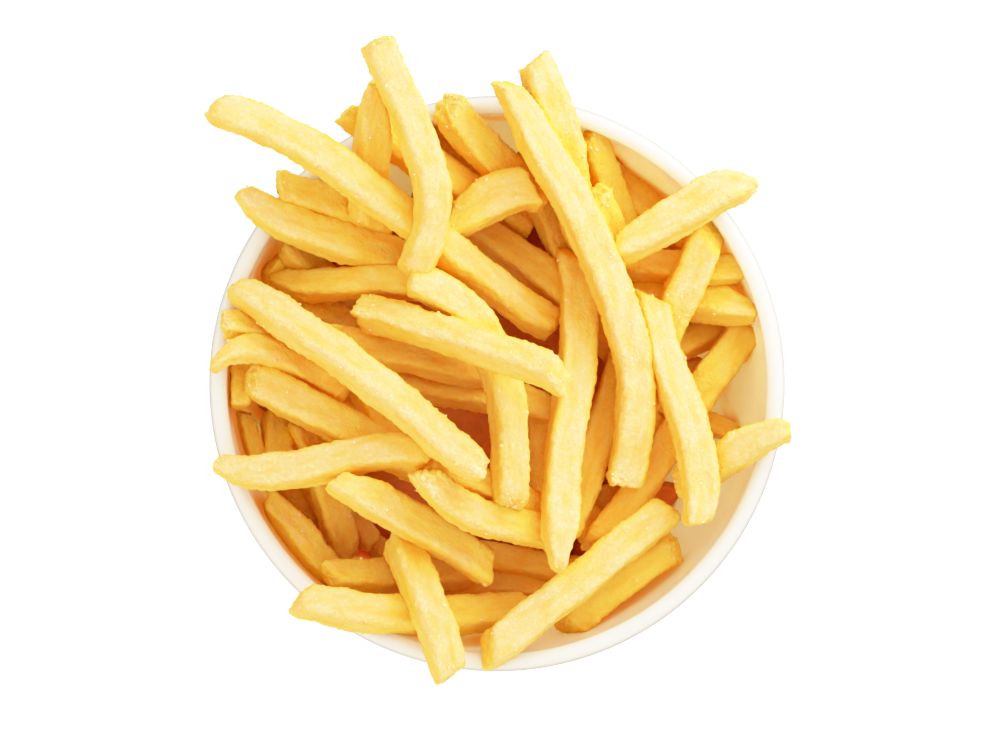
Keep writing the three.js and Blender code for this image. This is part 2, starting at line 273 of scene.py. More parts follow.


# Shares of painted shade on the glaze: a warm shade where the wall sees little sky below the lip, a shade
# close to the fries on one side, and a deeper shade where little sky is seen near the bottom.
def glazeShadeShares(tree, looks, place, depth):
    skySeen = addNode(tree, "ShaderNodeAttribute", attribute_name="fryOpen").outputs["Fac"]
    nextFry = addNode(tree, "ShaderNodeAttribute", attribute_name="glazeGap").outputs["Fac"]
    shares = []
    for cause, start, end, most, depths in (
        (skySeen, *looks["warmShadeSky"], looks["warmShadeMost"], looks["warmShadeDepth"]),
        (nextFry, *looks["nearFryShadeGap"], looks["nearFryShadeMost"], looks["nearFryShadeDepth"]),
        (skySeen, *looks["deepShadeSky"], looks["deepShadeMost"], looks["deepShadeDepth"]),
    ):
        near = addNode(tree, "ShaderNodeMapRange", {
            "Value": cause, "From Min": start, "From Max": end, "To Max": most,
        }, interpolation_type="SMOOTHSTEP")
        within = addNode(tree, "ShaderNodeMapRange", {
            "Value": depth, "From Min": depths[0], "From Max": depths[1],
        })
        shares.append(addNode(tree, "ShaderNodeMath", {
            0: near.outputs[0], 1: within.outputs[0],
        }, operation="MULTIPLY"))
    warmShade, nearFryShade, deepShade = shares
    # the painted shade close to the fries falls only on one side
    across = addNode(tree, "ShaderNodeSeparateXYZ", {0: place}).outputs["X"]
    side = addNode(tree, "ShaderNodeMapRange", {
        "Value": across, "From Min": looks["nearShadeSide"][0], "From Max": looks["nearShadeSide"][1],
    }, interpolation_type="SMOOTHSTEP")
    nearShade = addNode(tree, "ShaderNodeMath", {
        0: nearFryShade.outputs[0], 1: side.outputs[0],
    }, operation="MULTIPLY")
    # painted shade on the wall: the warm shade or the shade close to the fries, whichever is more
    wallShade = addNode(tree, "ShaderNodeMath", {
        0: warmShade.outputs[0], 1: nearShade.outputs[0],
    }, operation="MAXIMUM")
    return wallShade.outputs[0], deepShade.outputs[0]


def glazedPorcelainMaterial(looks):
    material, tree, surface = newMaterial("glazedPorcelain")
    place = addNode(tree, "ShaderNodeTexCoord").outputs["Object"]
    depth = addNode(tree, "ShaderNodeAttribute", attribute_name="glazeDepth").outputs["Fac"]
    cloud = addNode(tree, "ShaderNodeTexNoise", {
        "Vector": place, "Scale": looks["cloudScale"], "Detail": 2.0,
    })
    tint = addNode(tree, "ShaderNodeMix", {
        0: cloud.outputs["Fac"], 6: hexColour(looks["white"]), 7: hexColour(looks["shadedWhite"]),
    }, data_type="RGBA")
    # painted warm light bounced from the fries, fuller deeper in the bowl
    warmBounce = addNode(tree, "ShaderNodeMapRange", {
        "Value": depth, "From Min": looks["bounceCreamDepth"][0], "From Max": looks["bounceCreamDepth"][1],
    }, interpolation_type="SMOOTHSTEP")
    # painted shade on the glaze near the fries and deep in the bowl
    wallShade, deepShade = glazeShadeShares(tree, looks, place, depth)
    # painted grey shade on the outside just under the lip
    starts, grown, holds, ends = looks["lipShadeLine"]
    lipShadeGrowing = addNode(tree, "ShaderNodeMapRange", {
        "Value": depth, "From Min": -starts, "From Max": -grown,
    })
    lipShadeFade = addNode(tree, "ShaderNodeMapRange", {"Value": depth, "From Min": -ends, "From Max": -holds})
    lipShade = addNode(tree, "ShaderNodeMath", {
        0: lipShadeGrowing.outputs[0], 1: lipShadeFade.outputs[0],
    }, operation="MULTIPLY")
    for share, colour in (
        (warmBounce.outputs[0], "bounceCream"), (wallShade, "warmShade"), (deepShade, "deepShade"), (lipShade.outputs[0], "lipShade"),
    ):
        tint = addNode(tree, "ShaderNodeMix", {
            0: share, 6: tint.outputs[2], 7: hexColour(looks[colour]),
        }, data_type="RGBA")
    ripple = addNode(tree, "ShaderNodeTexNoise", {
        "Vector": place, "Scale": looks["rippleScale"], "Detail": 1.0,
    })
    bump = addNode(tree, "ShaderNodeBump", {
        "Height": ripple.outputs["Fac"],
        "Strength": looks["rippleStrength"],
        "Distance": looks["rippleHeight"],
    })
    deepLight = addNode(tree, "ShaderNodeMapRange", {
        "Value": depth, "From Min": -1.0, "From Max": 1.0,
        "To Min": looks["lightOutside"], "To Max": looks["lightInside"],
    })
    tree.links.new(tint.outputs[2], surface.inputs["Base Color"])
    tree.links.new(bump.outputs["Normal"], surface.inputs["Normal"])
    tree.links.new(deepLight.outputs[0], surface.inputs["Subsurface Scale"])
    surface.inputs["Roughness"].default_value = looks["roughness"]
    surface.inputs["IOR"].default_value = looks["refraction"]
    surface.inputs["Subsurface Weight"].default_value = 1.0
    surface.inputs["Subsurface Radius"].default_value = looks["lightTint"]
    return material


# Bare fired clay on the foot, where the glaze was wiped off: matt and a little darker.
clayLooks = {
    "pale": "#e6dccb",
    "dark": "#d3c4ac",
    "gritScale": 900.0,  # grit of about 1 mm
    "roughness": 0.85,
}


def bareClayMaterial(looks):
    material, tree, surface = newMaterial("bareClay")
    place = addNode(tree, "ShaderNodeTexCoord").outputs["Object"]
    grit = addNode(tree, "ShaderNodeTexNoise", {
        "Vector": place, "Scale": looks["gritScale"], "Detail": 3.0,
    })
    tint = addNode(tree, "ShaderNodeMix", {
        0: grit.outputs["Fac"], 6: hexColour(looks["pale"]), 7: hexColour(looks["dark"]),
    }, data_type="RGBA")
    tree.links.new(tint.outputs[2], surface.inputs["Base Color"])
    surface.inputs["Roughness"].default_value = looks["roughness"]
    return material


profile = bowlProfile(bowlSizes)
bowlMesh = turnedMesh(
    "bowlDressed", profile, bowlSizes["turnSteps"], glazedPorcelainMaterial(glazeLooks))
# depth under the top of the lip, in mm: above nought inside, below nought outside
ringsBelow = len(profile) - bowlSizes["wallSteps"] - bowlSizes["lipSteps"] // 2 - 2
lipTop = 1 + ringsBelow * bowlSizes["turnSteps"]
depths = [
    (bowlSizes["rimHeight"] - vertex.co.z / mm) * (1 if vertex.index >= lipTop else -1)
    for vertex in bowlMesh.vertices
]
bowlMesh.attributes.new("glazeDepth", "FLOAT", "POINT").data.foreach_set("value", depths)
bowlMesh.materials.append(bareClayMaterial(clayLooks))
for face in bowlMesh.polygons:
    if face.center.z < bowlSizes["wipedHeight"] * mm and face.normal.z < -0.5:
        face.material_index = 1
bowl = newPiece("bowlDressed", bowlMesh)
print("bowl done")


# Where each fry lies

heapSettings = {
    "moundTop": 43,  # mm, surface of the mound that the fries lie on
    "moundDrop": 11,  # how much lower it is at moundEdge
    "moundEdge": 62,
    "moundTilt": 0.08,  # it falls towards the right
    "thicknessShare": 0.94,  # of a fry's width
    "flatShare": 0.3,  # of its width to each side, that bears on what lies below
    "tipLength": 2.5,  # mm at each end that bear nothing
    "steepest": 0.48,  # rise for each millimetre of plan
    "clearance": 0.35,  # mm above the glaze
    "stations": 28,
    "rounds": 3,  # of settling, as the height of a fry changes where the plan puts it
    "rollRange": 0.3,  # radians
    "archRange": 1.6,  # mm, for a fry 60 mm long
    "seed": 11,
    "mapHalf": 110,  # mm, half the side of the height maps, which have a cell for each millimetre
    "eyeHeight": 700,  # the plan is drawn as seen from this far above the rim
}
mapWidth = 2 * heapSettings["mapHalf"] + 1

# From the bottom up, each fry: both ends, its bow at one and at two thirds, its width, how far each end
# comes to a point, and how brown it is. sink is how far a fry presses into those under it.
layers = [
    {"name": "bottom", "sink": 3.6, "fries": [
        (-60, -21, -36, -9, 0, 0, 8, 0, 0, 0.5),
        (13, 46, 41, 23, 0, 0, 8.5, 0, 0, 0.6),
        (-63.5, 9, -65.5, -6, 0.5, 0.5, 7, 0, 0.6, 0.3),
        (-63, -7, -59.5, -21.5, 0, 0, 5.5, 0.5, 0.5, 0.4),
        (-55.5, -8, -54.2, -25, 0, 0, 7, 0, 0, 0.3),
        (-50, -9.5, -43, -25, 0, 0, 7.5, 0.6, 0, 0.2),
        (-57, -29, -41, -48.5, 0, -0.5, 8, 0.5, 0, 0.6),
        (-46, -18, -37, -44, 0.5, 0, 8, 0, 0.5, 0.5),
        (-56.5, 31, -54, 21, 0, 0, 7, 0, 0, 0.4),
        (-53, 34, -36, 19, 0, 0, 8, 0.3, 0, 0.5),
        (-50, 21, -22, 6, 0, 0, 8, 0, 0, 0.7),
        (-60, 10, -24, -13, 0, 0, 7.5, 0, 0, 0.6),
        (-39, 7, -20, -24, 0, 0, 7, 0, 0, 0.6),
        (20, 17, 40, 1, 0, 0, 8, 0, 0, 0.5),
        (23, 57, 49, 35, -1, -1, 8, 0, 0, 0.6),
        (-20, 63.5, 8, 39, 0, 0, 7.5, 0, 0, 0.5),
        (6, 59, 20, 26, 0, 0, 7.5, 0, 0, 0.8),
        (33, 4, 60, 15.5, 0, 0, 7.5, 0, 0.3, 0.5),
        (-20, -49, 22, -50.5, 0, 0, 7.5, 0, 0, 0.4),
        (-4, -43, 26, -48, 0, 0, 6.5, 0, 0.4, 0.4),
        (4, -37.5, 38, -27.5, 0, 0, 9, 0, 0, 0.3),
        (21, -32, 33.5, -52, 0, 0, 8, 0, 0.3, 0.4),
        (47, 5, 34, -25, 0, 0, 7.5, 0, 0, 0.4),
        (11, -3, 13, -36, 0, 0, 8, 0, 0, 0.5),
        (33, 8, 17, -38, 0, 0, 8, 0, 0, 0.3),
        (-30, 1.5, 16, -6.5, 0, 0, 8, 0, 0.5, 0.4),
    ]},
    {"name": "lower", "sink": 3, "fries": [
        (-38.5, 68, -6, 46.5, 1.2, 0.6, 9, 0.7, 0, 0.4),
        (-55, 49.5, -26, 39.5, 0.4, 0.2, 8, 0, 0, 0.5),
        (-69, 15, -36, 5, 1, 1, 7, 0.2, 0, 0.2),
        (-73, 5, -38, -3, 6.6, 4, 6.5, 0.9, 0, 0.2),
        (-62.5, 2, -14, -23, -0.6, -0.3, 9, 0, 0, 0.6),
        (-51, 12, 2, 0.5, 0.9, 1, 8, 0, 0.7, 0.1),
        (-12.5, 70, 10, 45.5, -0.7, -0.4, 9, 0, 0, 0.7),
        (8.5, 81, 23, 36, 1, 0, 9.5, 0.4, 0, 0),
        (23, 63.5, 37, 26, 0, -0.8, 7.5, 0.2, 0, 0.1),
        (28, 30, 62.5, 28, 0, 0, 7.5, 0, 0.3, 0.1),
        (28, 22.5, 65, 19.5, 0, 0, 9, 0, 0.8, 0.2),
        (43, -7, 61, -13, 0, 0, 5.5, 0, 0.3, 0.3),
        (45.5, -25.5, 73.5, -12, 0.6, 1.3, 8, 0, 0.4, 0.3),
        (-17, -20, 14, -33, 0, 0, 7.5, 0, 0, 0.4),
        (-43, -48.5, -5, -47.5, 0, 0, 8, 0.3, 0, 0.4),
        (45, -41, 17.5, -62, -1.2, -1.8, 8, 0, 0.2, 0.4),
        (-10, 42.5, 24, 17, 0, 0.4, 8.5, 0, 0, 0.3),
    ]},
    {"name": "upper", "sink": 2.2, "fries": [
        (-28.5, 74.5, -33, 40, -1, -0.4, 9, 0.7, 0, 0.8),
        (-65, 47, -20, 29, -1.6, -0.2, 9, 0.8, 0, 0.1),
        (-57, 25, -14, 23.5, 0.3, 1.4, 7.5, 1, 0, 0.1),
        (-10, 41.8, 9, 49.3, 0.5, 1.2, 10, 0.2, 0, 0.2),
        (24.5, 48, 31, 28, 0, 0, 8, 0, 0, 0.1),
        (54, 38, 40.5, 10, 0, 0, 8.5, 0, 0, 0.2),
        (62, 13.5, 25, -42, 0, 0, 8, 0, 0.3, 0.1),
        (-17.5, -21.5, 17, -39, -5, -2.8, 8, 0.2, 0, 0.9),
        (-50.5, -54.5, 6.5, -57, -2.1, -2.2, 9, 0.3, 0, 0.1),
        (-22, 27, 3.5, -31, 11.4, 8.4, 8.5, 0, 0, 0.1),
        (38, 22.5, 51.5, -35.5, 0.8, 2.6, 8.5, 0, 0.4, 0.1),
    ]},
    {"name": "top", "sink": 1.5, "fries": [
        (-72, 70.5, 15, 14, 4, 1.5, 8.7, 0.2, 0, 0),
        (-71, -21.5, -16, -18, -1.6, 1.2, 8.7, 0.8, 0, 0.1),
        (-25, -37, -12, -74, 0.6, 1, 9, 0, 0.2, 0.1),
        (-41, -24, -2.5, -46, 0.3, 0.6, 8.7, 0.5, 0, 0.1),
        (43.5, -31.5, -3, -67.2, 0.1, 0.9, 8.7, 0, 0, 0.1),
        (19.5, 33, 17.5, -47, 1.3, -1.5, 8.6, 0, 1, 0.1),
        (-34, 17.5, 16.5, 1.5, 1.5, 1.4, 8.7, 0, 0.2, 0.3),
        (30, 34.5, 65, 51, -0.4, 1.2, 9, 0.4, 0.7, 0.1),
        (-66, 24, -4, -22, 2, 1.4, 8.8, 0.5, 0.4, 0),
    ]},
    {"name": "top", "sink": 1.2, "fries": [
        (-30, 86.5, -22, 27.5, 5.3, 8.4, 8.2, 0, 0, 0.1),
        (2.5, 76, 32, -25.5, 7.6, 11.2, 8.8, 0.6, 0, 0.2),
    ]},
]


def bowlHeight(radius):
    inside = np.clip(1 - (radius / innerRadius) ** bowlSizes["roundness"], 0, 1)
    wall = lipHeight - innerDepth * inside ** (1 / bowlSizes["roundness"])
    lip = lipHeight + np.sqrt(np.clip(bowlSizes["lipRadius"] ** 2 - (radius - lipCentre) ** 2, 0, None))
    height = np.where(radius < innerRadius, wall, np.where(radius < bowlSizes["rimRadius"], lip, 0))
    return height


def moundHeight(x, y):
    h = heapSettings
    fall = h["moundDrop"] * (np.hypot(x, y) / h["moundEdge"]) ** 2
    return h["moundTop"] - fall - h["moundTilt"] * x


def cellOf(x, y):
    column = np.floor(x + heapSettings["mapHalf"] + 0.5).astype(int)
    row = np.floor(y + heapSettings["mapHalf"] + 0.5).astype(int)
    return row * mapWidth + column


mapY, mapX = np.divmod(np.arange(mapWidth * mapWidth), mapWidth) - np.array([[heapSettings["mapHalf"]]])
mapRadius = np.hypot(mapX, mapY)
bowlMap = bowlHeight(mapRadius)
moundMap = np.where(mapRadius < heapSettings["moundEdge"], moundHeight(mapX, mapY), 0)


# A curve through bowA at one third of the fry and bowB at two thirds.
def bowAt(s, bowA, bowB):
    return 13.5 * s * (1 - s) * (bowA * (2 / 3 - s) + bowB * (s - 1 / 3))


# The straight edge that lies on the supports and carries the middle of the fry.
def restingLine(shares, heights, length):
    hull = []
    for point in zip(shares, heights):
        while len(hull) > 1:
            a, b = hull[-2:]
            if (b[0] - a[0]) * (point[1] - a[1]) - (b[1] - a[1]) * (point[0] - a[0]) < 0:
                break
            hull.pop()
        hull.append(point)
    right = next(i for i, p in enumerate(hull) if p[0] >= 0.5)
    a, b = hull[right - 1], hull[right]
    steepest = heapSettings["steepest"] * length
    rise = min(max((b[1] - a[1]) / (b[0] - a[0]), -steepest), steepest)
    return max(height - rise * s for s, height in zip(shares, heights)), rise


# Lets one fry settle on what a height map holds, and returns its true course as a function of s.
def settle(row, roll, arch, sink, heapMap):
    x1, y1, x2, y2, bowA, bowB, width = row[:7]
    h = heapSettings
    span = math.hypot(x2 - x1, y2 - y1)
    across = (-(y2 - y1) / span, (x2 - x1) / span)
    thickness = width * h["thicknessShare"]
    tip = h["tipLength"] / span
    line = (bowlSizes["rimHeight"] - thickness, 0)

    def course(s):
        bottom = line[0] + line[1] * s + arch * 4 * s * (1 - s)
        scale = 1 - (bottom + thickness - bowlSizes["rimHeight"]) / h["eyeHeight"]
        bow = bowAt(s, bowA, bowB)
        x = (x1 + (x2 - x1) * s + across[0] * bow) * scale
        y = (y1 + (y2 - y1) * s + across[1] * bow) * scale
        return x, y, bottom + thickness / 2, width * scale, thickness * scale

    shares = tip + (1 - 2 * tip) * np.arange(h["stations"] + 1) / h["stations"]
    for _ in range(h["rounds"]):
        x, y, z, wide, thick = course(shares)
        support = np.zeros(len(shares))
        for side in np.linspace(-1, 1, 5):
            reach = side * h["flatShare"] * wide
            cell = cellOf(x + across[0] * reach, y + across[1] * reach)
            felt = np.maximum(bowlMap[cell] + h["clearance"], heapMap[cell] - sink)
            support = np.maximum(support, felt - reach * math.sin(roll))
        line = restingLine(shares, support - arch * 4 * shares * (1 - shares), span)
    return {"course": course, "span": span, "across": across, "roll": roll, "ends": ((x1, y1), (x2, y2))}


# Adds a settled fry's top to a height map, at points half a millimetre apart along it and 17 across it.
def layDown(fry, heapMap):
    steps = math.ceil(fry["span"] * 2)
    s = np.arange(steps + 1)[:, None] / steps
    offset = np.arange(-8, 9)[None, :] / 16
    x, y, z, wide, thick = fry["course"](s)
    corner = np.maximum(np.abs(offset) - heapSettings["flatShare"], 0)
    reach = offset * wide
    cell = cellOf(x + fry["across"][0] * reach, y + fry["across"][1] * reach)
    top = z + thick * (0.5 - corner) + reach * math.sin(fry["roll"])
    np.maximum.at(heapMap, cell.ravel(), top.ravel())


# Even draws between 0 and 1, the same in every version: each state is a multiple of the last one.
def drawer(seed, factor=16807, modulus=2 ** 31 - 1):
    state = seed
    while True:
        state = state * factor % modulus
        yield state / modulus


def layHeap():
    draw = drawer(heapSettings["seed"])
    heapMap = moundMap.copy()
    laid = []
    for layer in layers:
        for row in layer["fries"]:
            roll = (next(draw) * 2 - 1) * heapSettings["rollRange"]
            length = math.hypot(row[2] - row[0], row[3] - row[1])
            arch = (next(draw) * 2 - 1) * heapSettings["archRange"] * (length / 60) ** 2
            fry = settle(row, roll, arch, layer["sink"], heapMap)
            layDown(fry, heapMap)
            fry.update(name=layer["name"], points=row[7:9], browning=row[9])
            laid.append(fry)
    return laid


buriedSettings = {  # fries under those that show, strewn until the mound is full
    "coreDepth": 13,  # mm, how far the bare core lies under the mound's surface
    "headroom": 5,  # mm that they stay under that surface, but for those along the wall
    "reach": 59,
    "length": (36, 60),
    "alongWall": 0.4,  # share that lies along the wall
    "wallRadius": (46, 56),
    "wallLength": (24, 42),
    "wallHeadroom": -0.5,
    "width": (7.4, 9),
    "sink": 0.6,
    "bow": 1.2,
    "roll": 0.35,  # radians
    "wander": 0.3,  # radians that one along the wall turns from it
    "browning": (0.3, 0.8),
    "buriedShadeMark": 1,  # added to the browning of these fries; browning above 1 marks a fry lying deep, which gets a painted red-brown shade
    "facetStretch": 2.3,  # they are hardly seen, so their facets are longer and fewer
    "profilePoints": 20,
    "wanted": 130,
    "tries": 4200,
    "seed": 4,
    "first": [  # broken bits laid along the wall: both ends and width
        (-55, -24, -45, -36, 4.8),
        (-50, -20, -43, -33, 5.2),
        (-37, -37, -25, -45, 5),
        (-40, -30, -31, -41, 5.6),
        (-57, -6, -59, 6, 4.6),
        (-51, 27, -43, 33, 5),
    ],
}


def layBuried(b):
    luck = np.random.RandomState(b["seed"])
    heapMap = np.maximum(moundMap - b["coreDepth"], 0)
    laid = []
    for x1, y1, x2, y2, width in b["first"]:
        fry = settle((x1, y1, x2, y2, 0.5, 0.5, width), 0, 0, b["sink"], heapMap)
        layDown(fry, heapMap)
        fry.update(name="buried", points=(0, 0), browning=0.4)
        laid.append(fry)
    s = np.linspace(0, 1, 15)
    for _ in range(b["tries"]):
        length = luck.uniform(*b["length"])
        heading = luck.uniform(0, math.pi)
        x, y = luck.uniform(-b["reach"], b["reach"], 2)
        headroom = b["headroom"]
        if luck.uniform() < b["alongWall"]:
            headroom = b["wallHeadroom"]
            length = luck.uniform(*b["wallLength"])
            turn, radius = luck.uniform(0, 2 * math.pi), luck.uniform(*b["wallRadius"])
            x, y = radius * math.cos(turn), radius * math.sin(turn)
            heading = turn + math.pi / 2 + luck.uniform(-b["wander"], b["wander"])
        half = (math.cos(heading) * length / 2, math.sin(heading) * length / 2)
        row = (
            x - half[0], y - half[1], x + half[0], y + half[1],
            *luck.uniform(-b["bow"], b["bow"], 2), luck.uniform(*b["width"]),
        )
        roll = luck.uniform(-b["roll"], b["roll"])
        if max(math.hypot(*row[:2]), math.hypot(*row[2:4])) > b["reach"]:
            continue
        fry = settle(row, roll, 0, b["sink"], heapMap)
        px, py, pz, wide, thick = fry["course"](s)
        if np.any(pz + thick / 2 > moundHeight(px, py) - headroom):
            continue
        layDown(fry, heapMap)
        fry.update(name="buried", points=(0, 0), browning=luck.uniform(*b["browning"]) + b["buriedShadeMark"])
        laid.append(fry)
        if len(laid) == b["wanted"]:
            break
    return laid


heap = layHeap()
buried = layBuried(buriedSettings)
print("fries laid:", len(heap), "that show and", len(buried), "under them")


# Shape of a fry

frySettings = {  # mm unless it says share or radians
    "step": 0.66,  # length of one facet
    "leastFacets": 6,
    "measureSteps": 64,
    "glance": 0.02,  # share of its length to each side, from which its direction is taken
    "fullness": 1.13,  # share
    "turnedShare": 0.45,  # a turned section shows wider, so it is made that much narrower
    "capDepth": (0.7, 2.4),  # how far back an end is rounded
    "capFlat": (0.5, 0.9),  # share of an end that stays flat
    "slant": 0.65,  # share, how far a cut end leans
    "slantFade": 9,
    "settledRoll": 0.5,  # share of the roll that it settled with
    "twist": 0.5,  # radians from end to end, either way
    "tilt": 0.5,  # radians, the faces lean this far towards one side of the bowl
    "tiltSide": (0.62, 0.78),
    "sway": 0.35,  # how far the centre line wanders sideways
    "heave": 0.6,  # share of the sway, by which it wanders up and down
    "swayWaves": (7.3, 3.9),  # for each radian of a slow and of a quick wave
    "heaveWaves": (8.1, 4.3),
    "waveShares": (0.6, 0.4),
    "pointLength": (10, 17),
    "pointWidth": 0.3,  # share that is left at a pointed end
    "pointThins": 0.6,  # share of the lost width that its thickness loses
    "pointShift": 0.45,  # share of the lost width, by which a point moves to either side
    "leastPoint": 0.12,  # share, every end narrows by up to this much of a full point
    "crispEnds": [  # ends that fried dry and crumbly, over crispReach
        (-46, -18), (-37, -44), (-34, 17.5), (-17.5, -21.5), (24.5, 48), (-12.5, 70), (-69, 15),
        (32, -25.5), (-10, 41.8), (-62.5, 2), (-10, 42.5), (28, 30), (45, -41), (23, 63.5), (-4, -22),
        (-50, -9.5),
    ],
    "crispReach": 6,
    "crispNear": 2,  # an end this near to a place above is that end
    "roundEnds": [(-73, 68), (66, 51), (-69, 52)],  # ends worn round, over roundDepth
    "roundNear": 5,
    "roundDepth": 4.2,
    "roundFlat": 0.3,
    "seed": 23,
}


# Rings that close an end: how far each lies from the tip, and its size. The first three make a face that
# bulges a little, and the others round its edge.
def endRings(depth, flat):
    rings = [(0, 0.03), (0.05, 0.45 * flat), (0.12, 0.8 * flat)]
    for turn in range(0, 91, 18):
        away = depth * (1 - math.cos(math.radians(turn)))
        rings.append((0.2 + away, flat + (1 - flat) * math.sin(math.radians(turn))))
    return rings


# How far each station lies along a fry, and the size of its ring.
def fryStations(fry, length, luck, s, stretch):
    depths, flats = luck.uniform(*s["capDepth"], 2), luck.uniform(*s["capFlat"], 2)
    for i, end in enumerate(fry["ends"]):
        if any(math.dist(end, spot) < s["roundNear"] for spot in s["roundEnds"]):
            depths[i], flats[i] = s["roundDepth"], s["roundFlat"]
    start, finish = endRings(depths[0], flats[0]), endRings(depths[1], flats[1])
    body = length - start[-1][0] - finish[-1][0]
    facets = max(int(body / (s["step"] * stretch)), s["leastFacets"])
    middle = np.linspace(start[-1][0], length - finish[-1][0], facets + 1)[1:-1]
    place = [d for d, _ in start] + list(middle) + [length - d for d, _ in reversed(finish)]
    ring = [k for _, k in start] + [1] * len(middle) + [k for _, k in reversed(finish)]
    return np.array(place), np.array(ring)


# Directions ahead, sideways and up at each station, and the roll that turned the last two.
def fryDirections(fry, share, luck, s):
    before = np.array(fry["course"](np.clip(share - s["glance"], 0, 1))[:3])
    after = np.array(fry["course"](np.clip(share + s["glance"], 0, 1))[:3])
    ahead = (after - before).T
    ahead /= np.linalg.norm(ahead, axis=1)[:, None]
    side = np.column_stack([-ahead[:, 1], ahead[:, 0], np.zeros(len(ahead))])
    side /= np.linalg.norm(side, axis=1)[:, None]
    up = np.cross(ahead, side)
    facing = float(np.mean(side[:, :2] @ np.array(s["tiltSide"])))
    twist = luck.uniform(-s["twist"], s["twist"])
    roll = fry["roll"] * s["settledRoll"] - s["tilt"] * facing + twist * (share - 0.5)
    cosine, sine = np.cos(roll)[:, None], np.sin(roll)[:, None]
    side, up = side * cosine + up * sine, up * cosine - side * sine
    return ahead, side, up, roll


# Share of its width that a fry keeps at each station, and how far a pointed end moves to one side.
def fryTaper(fry, place, length, luck, s):
    kept, shift = np.ones(len(place)), np.zeros(len(place))
    for point, away in zip(fry["points"], (place, length - place)):
        reach = luck.uniform(*s["pointLength"])
        fade = np.clip(away / reach, 0, 1)
        taper = max(point, luck.uniform(0, s["leastPoint"]))
        loss = taper * (1 - s["pointWidth"]) * (1 - np.sin(fade * math.pi / 2))
        kept -= loss
        shift += loss * luck.uniform(-s["pointShift"], s["pointShift"])
    return kept, shift


def fryCrispness(fry, place, length, s):
    crisp = np.zeros(len(place))
    for end, away in zip(fry["ends"], (place, length - place)):
        if any(math.dist(end, spot) < s["crispNear"] for spot in s["crispEnds"]):
            crisp = np.maximum(crisp, 1 - away / s["crispReach"])
    return crisp


def wander(place, waves, phases, shares):
    slow = np.sin(place / waves[0] + phases[0])
    quick = np.sin(place / waves[1] + phases[1])
    return slow * shares[0] + quick * shares[1]


# How far the cut ends lean ahead, for each step sideways and up.
def fryLean(place, length, luck, s):
    leans = luck.uniform(-s["slant"], s["slant"], 4)
    nearStart = np.clip(1 - place / s["slantFade"], 0, 1) ** 2
    nearEnd = np.clip(1 - (length - place) / s["slantFade"], 0, 1) ** 2
    return np.column_stack([
        leans[0] * nearStart + leans[2] * nearEnd,
        leans[1] * nearStart + leans[3] * nearEnd,
        np.zeros(len(place)),
    ])


# All that the sweep needs to know at each station of one fry.
def fryPath(fry, serial, softness, luck, s, stretch):
    x, y, z, wide, thick = fry["course"](np.linspace(0, 1, s["measureSteps"] + 1))
    length = float(np.sum(np.sqrt(np.diff(x) ** 2 + np.diff(y) ** 2 + np.diff(z) ** 2)))
    place, ring = fryStations(fry, length, luck, s, stretch)
    x, y, z, wide, thick = fry["course"](place / length)
    ahead, side, up, roll = fryDirections(fry, place / length, luck, s)
    turned = np.abs(np.cos(roll)) + np.abs(np.sin(roll))
    shown = (1 - s["turnedShare"] + s["turnedShare"] * turned) / s["fullness"]
    kept, shift = fryTaper(fry, place, length, luck, s)
    phases = luck.uniform(0, 2 * math.pi, 4)
    sway = wander(place, s["swayWaves"], phases[:2], s["waveShares"]) * s["sway"]
    heave = wander(place, s["heaveWaves"], phases[2:], s["waveShares"]) * s["sway"] * s["heave"]
    centre = np.column_stack([x, y, z]) + side * (shift * wide + sway)[:, None]
    centre += up * heave[:, None]
    return {
        "centre": centre * mm,
        "side": side,
        "up": up,
        "ahead": ahead,
        "wide": wide * kept / shown * mm,
        "thick": thick * (1 - (1 - kept) * s["pointThins"]) / shown * mm,
        "ring": ring,
        "lean": fryLean(place, length, luck, s),
        "place": place,
        "serial": np.full(len(place), serial),
        "soft": np.full(len(place), softness),
        "fryTip": np.minimum(place, length - place),
        "fryBrown": np.full(len(place), fry["browning"]),
        "fryCrisp": fryCrispness(fry, place, length, s),
    }


# Centre line of every fry as one mesh of edges, with its path's values as attributes.
def pathMesh(name, fries, s, stretch=1):
    luck = np.random.RandomState(s["seed"] + len(fries))
    softLuck = np.random.RandomState(s["seed"] + 2)
    paths, edges, first = [], [], 0
    for number, fry in enumerate(fries):
        paths.append(fryPath(fry, number + 1.0, softLuck.uniform(0, 1) ** 2, luck, s, stretch))
        count = len(paths[-1]["ring"])
        edges += [(first + i, first + i + 1) for i in range(count - 1)]
        first += count
    mesh = bpy.data.meshes.new(name)
    mesh.from_pydata(np.concatenate([path["centre"] for path in paths]).tolist(), edges, [])
    for key in paths[0]:
        values = np.concatenate([path[key] for path in paths])
        kind, field = ("FLOAT_VECTOR", "vector") if values.ndim == 2 else ("FLOAT", "value")
        mesh.attributes.new(key, kind, "POINT").data.foreach_set(field, values.ravel().astype(np.float32))
    return mesh


def newTree(name, sockets):
    tree = bpy.data.node_groups.new(name, "GeometryNodeTree")
    tree.interface.new_socket("Geometry", in_out="INPUT", socket_type="NodeSocketGeometry")
    tree.interface.new_socket("Geometry", in_out="OUTPUT", socket_type="NodeSocketGeometry")
    for label, (kind, value) in sockets.items():
        socket = tree.interface.new_socket(label, in_out="INPUT", socket_type="NodeSocket" + kind)
        if value is not None:
            socket.default_value = value
    return tree, addNode(tree, "NodeGroupInput").outputs


# Runs a tree on a seed mesh and returns the result as a plain piece.
def growPiece(name, seed, tree, values):
    sprout = newPiece(name + "Seed", seed)
    modifier = sprout.modifiers.new(name, "NODES")
    modifier.node_group = tree
    for item in tree.interface.items_tree:
        if item.in_out == "INPUT" and item.name in values:
            modifier[item.identifier] = values[item.name]
    graph = bpy.context.evaluated_depsgraph_get()
    mesh = bpy.data.meshes.new_from_object(
        sprout.evaluated_get(graph), preserve_all_data_layers=True, depsgraph=graph)
    mesh.name = name
    sprout.modifiers.remove(modifier)
    bpy.data.objects.remove(sprout)
    return newPiece(name, mesh)


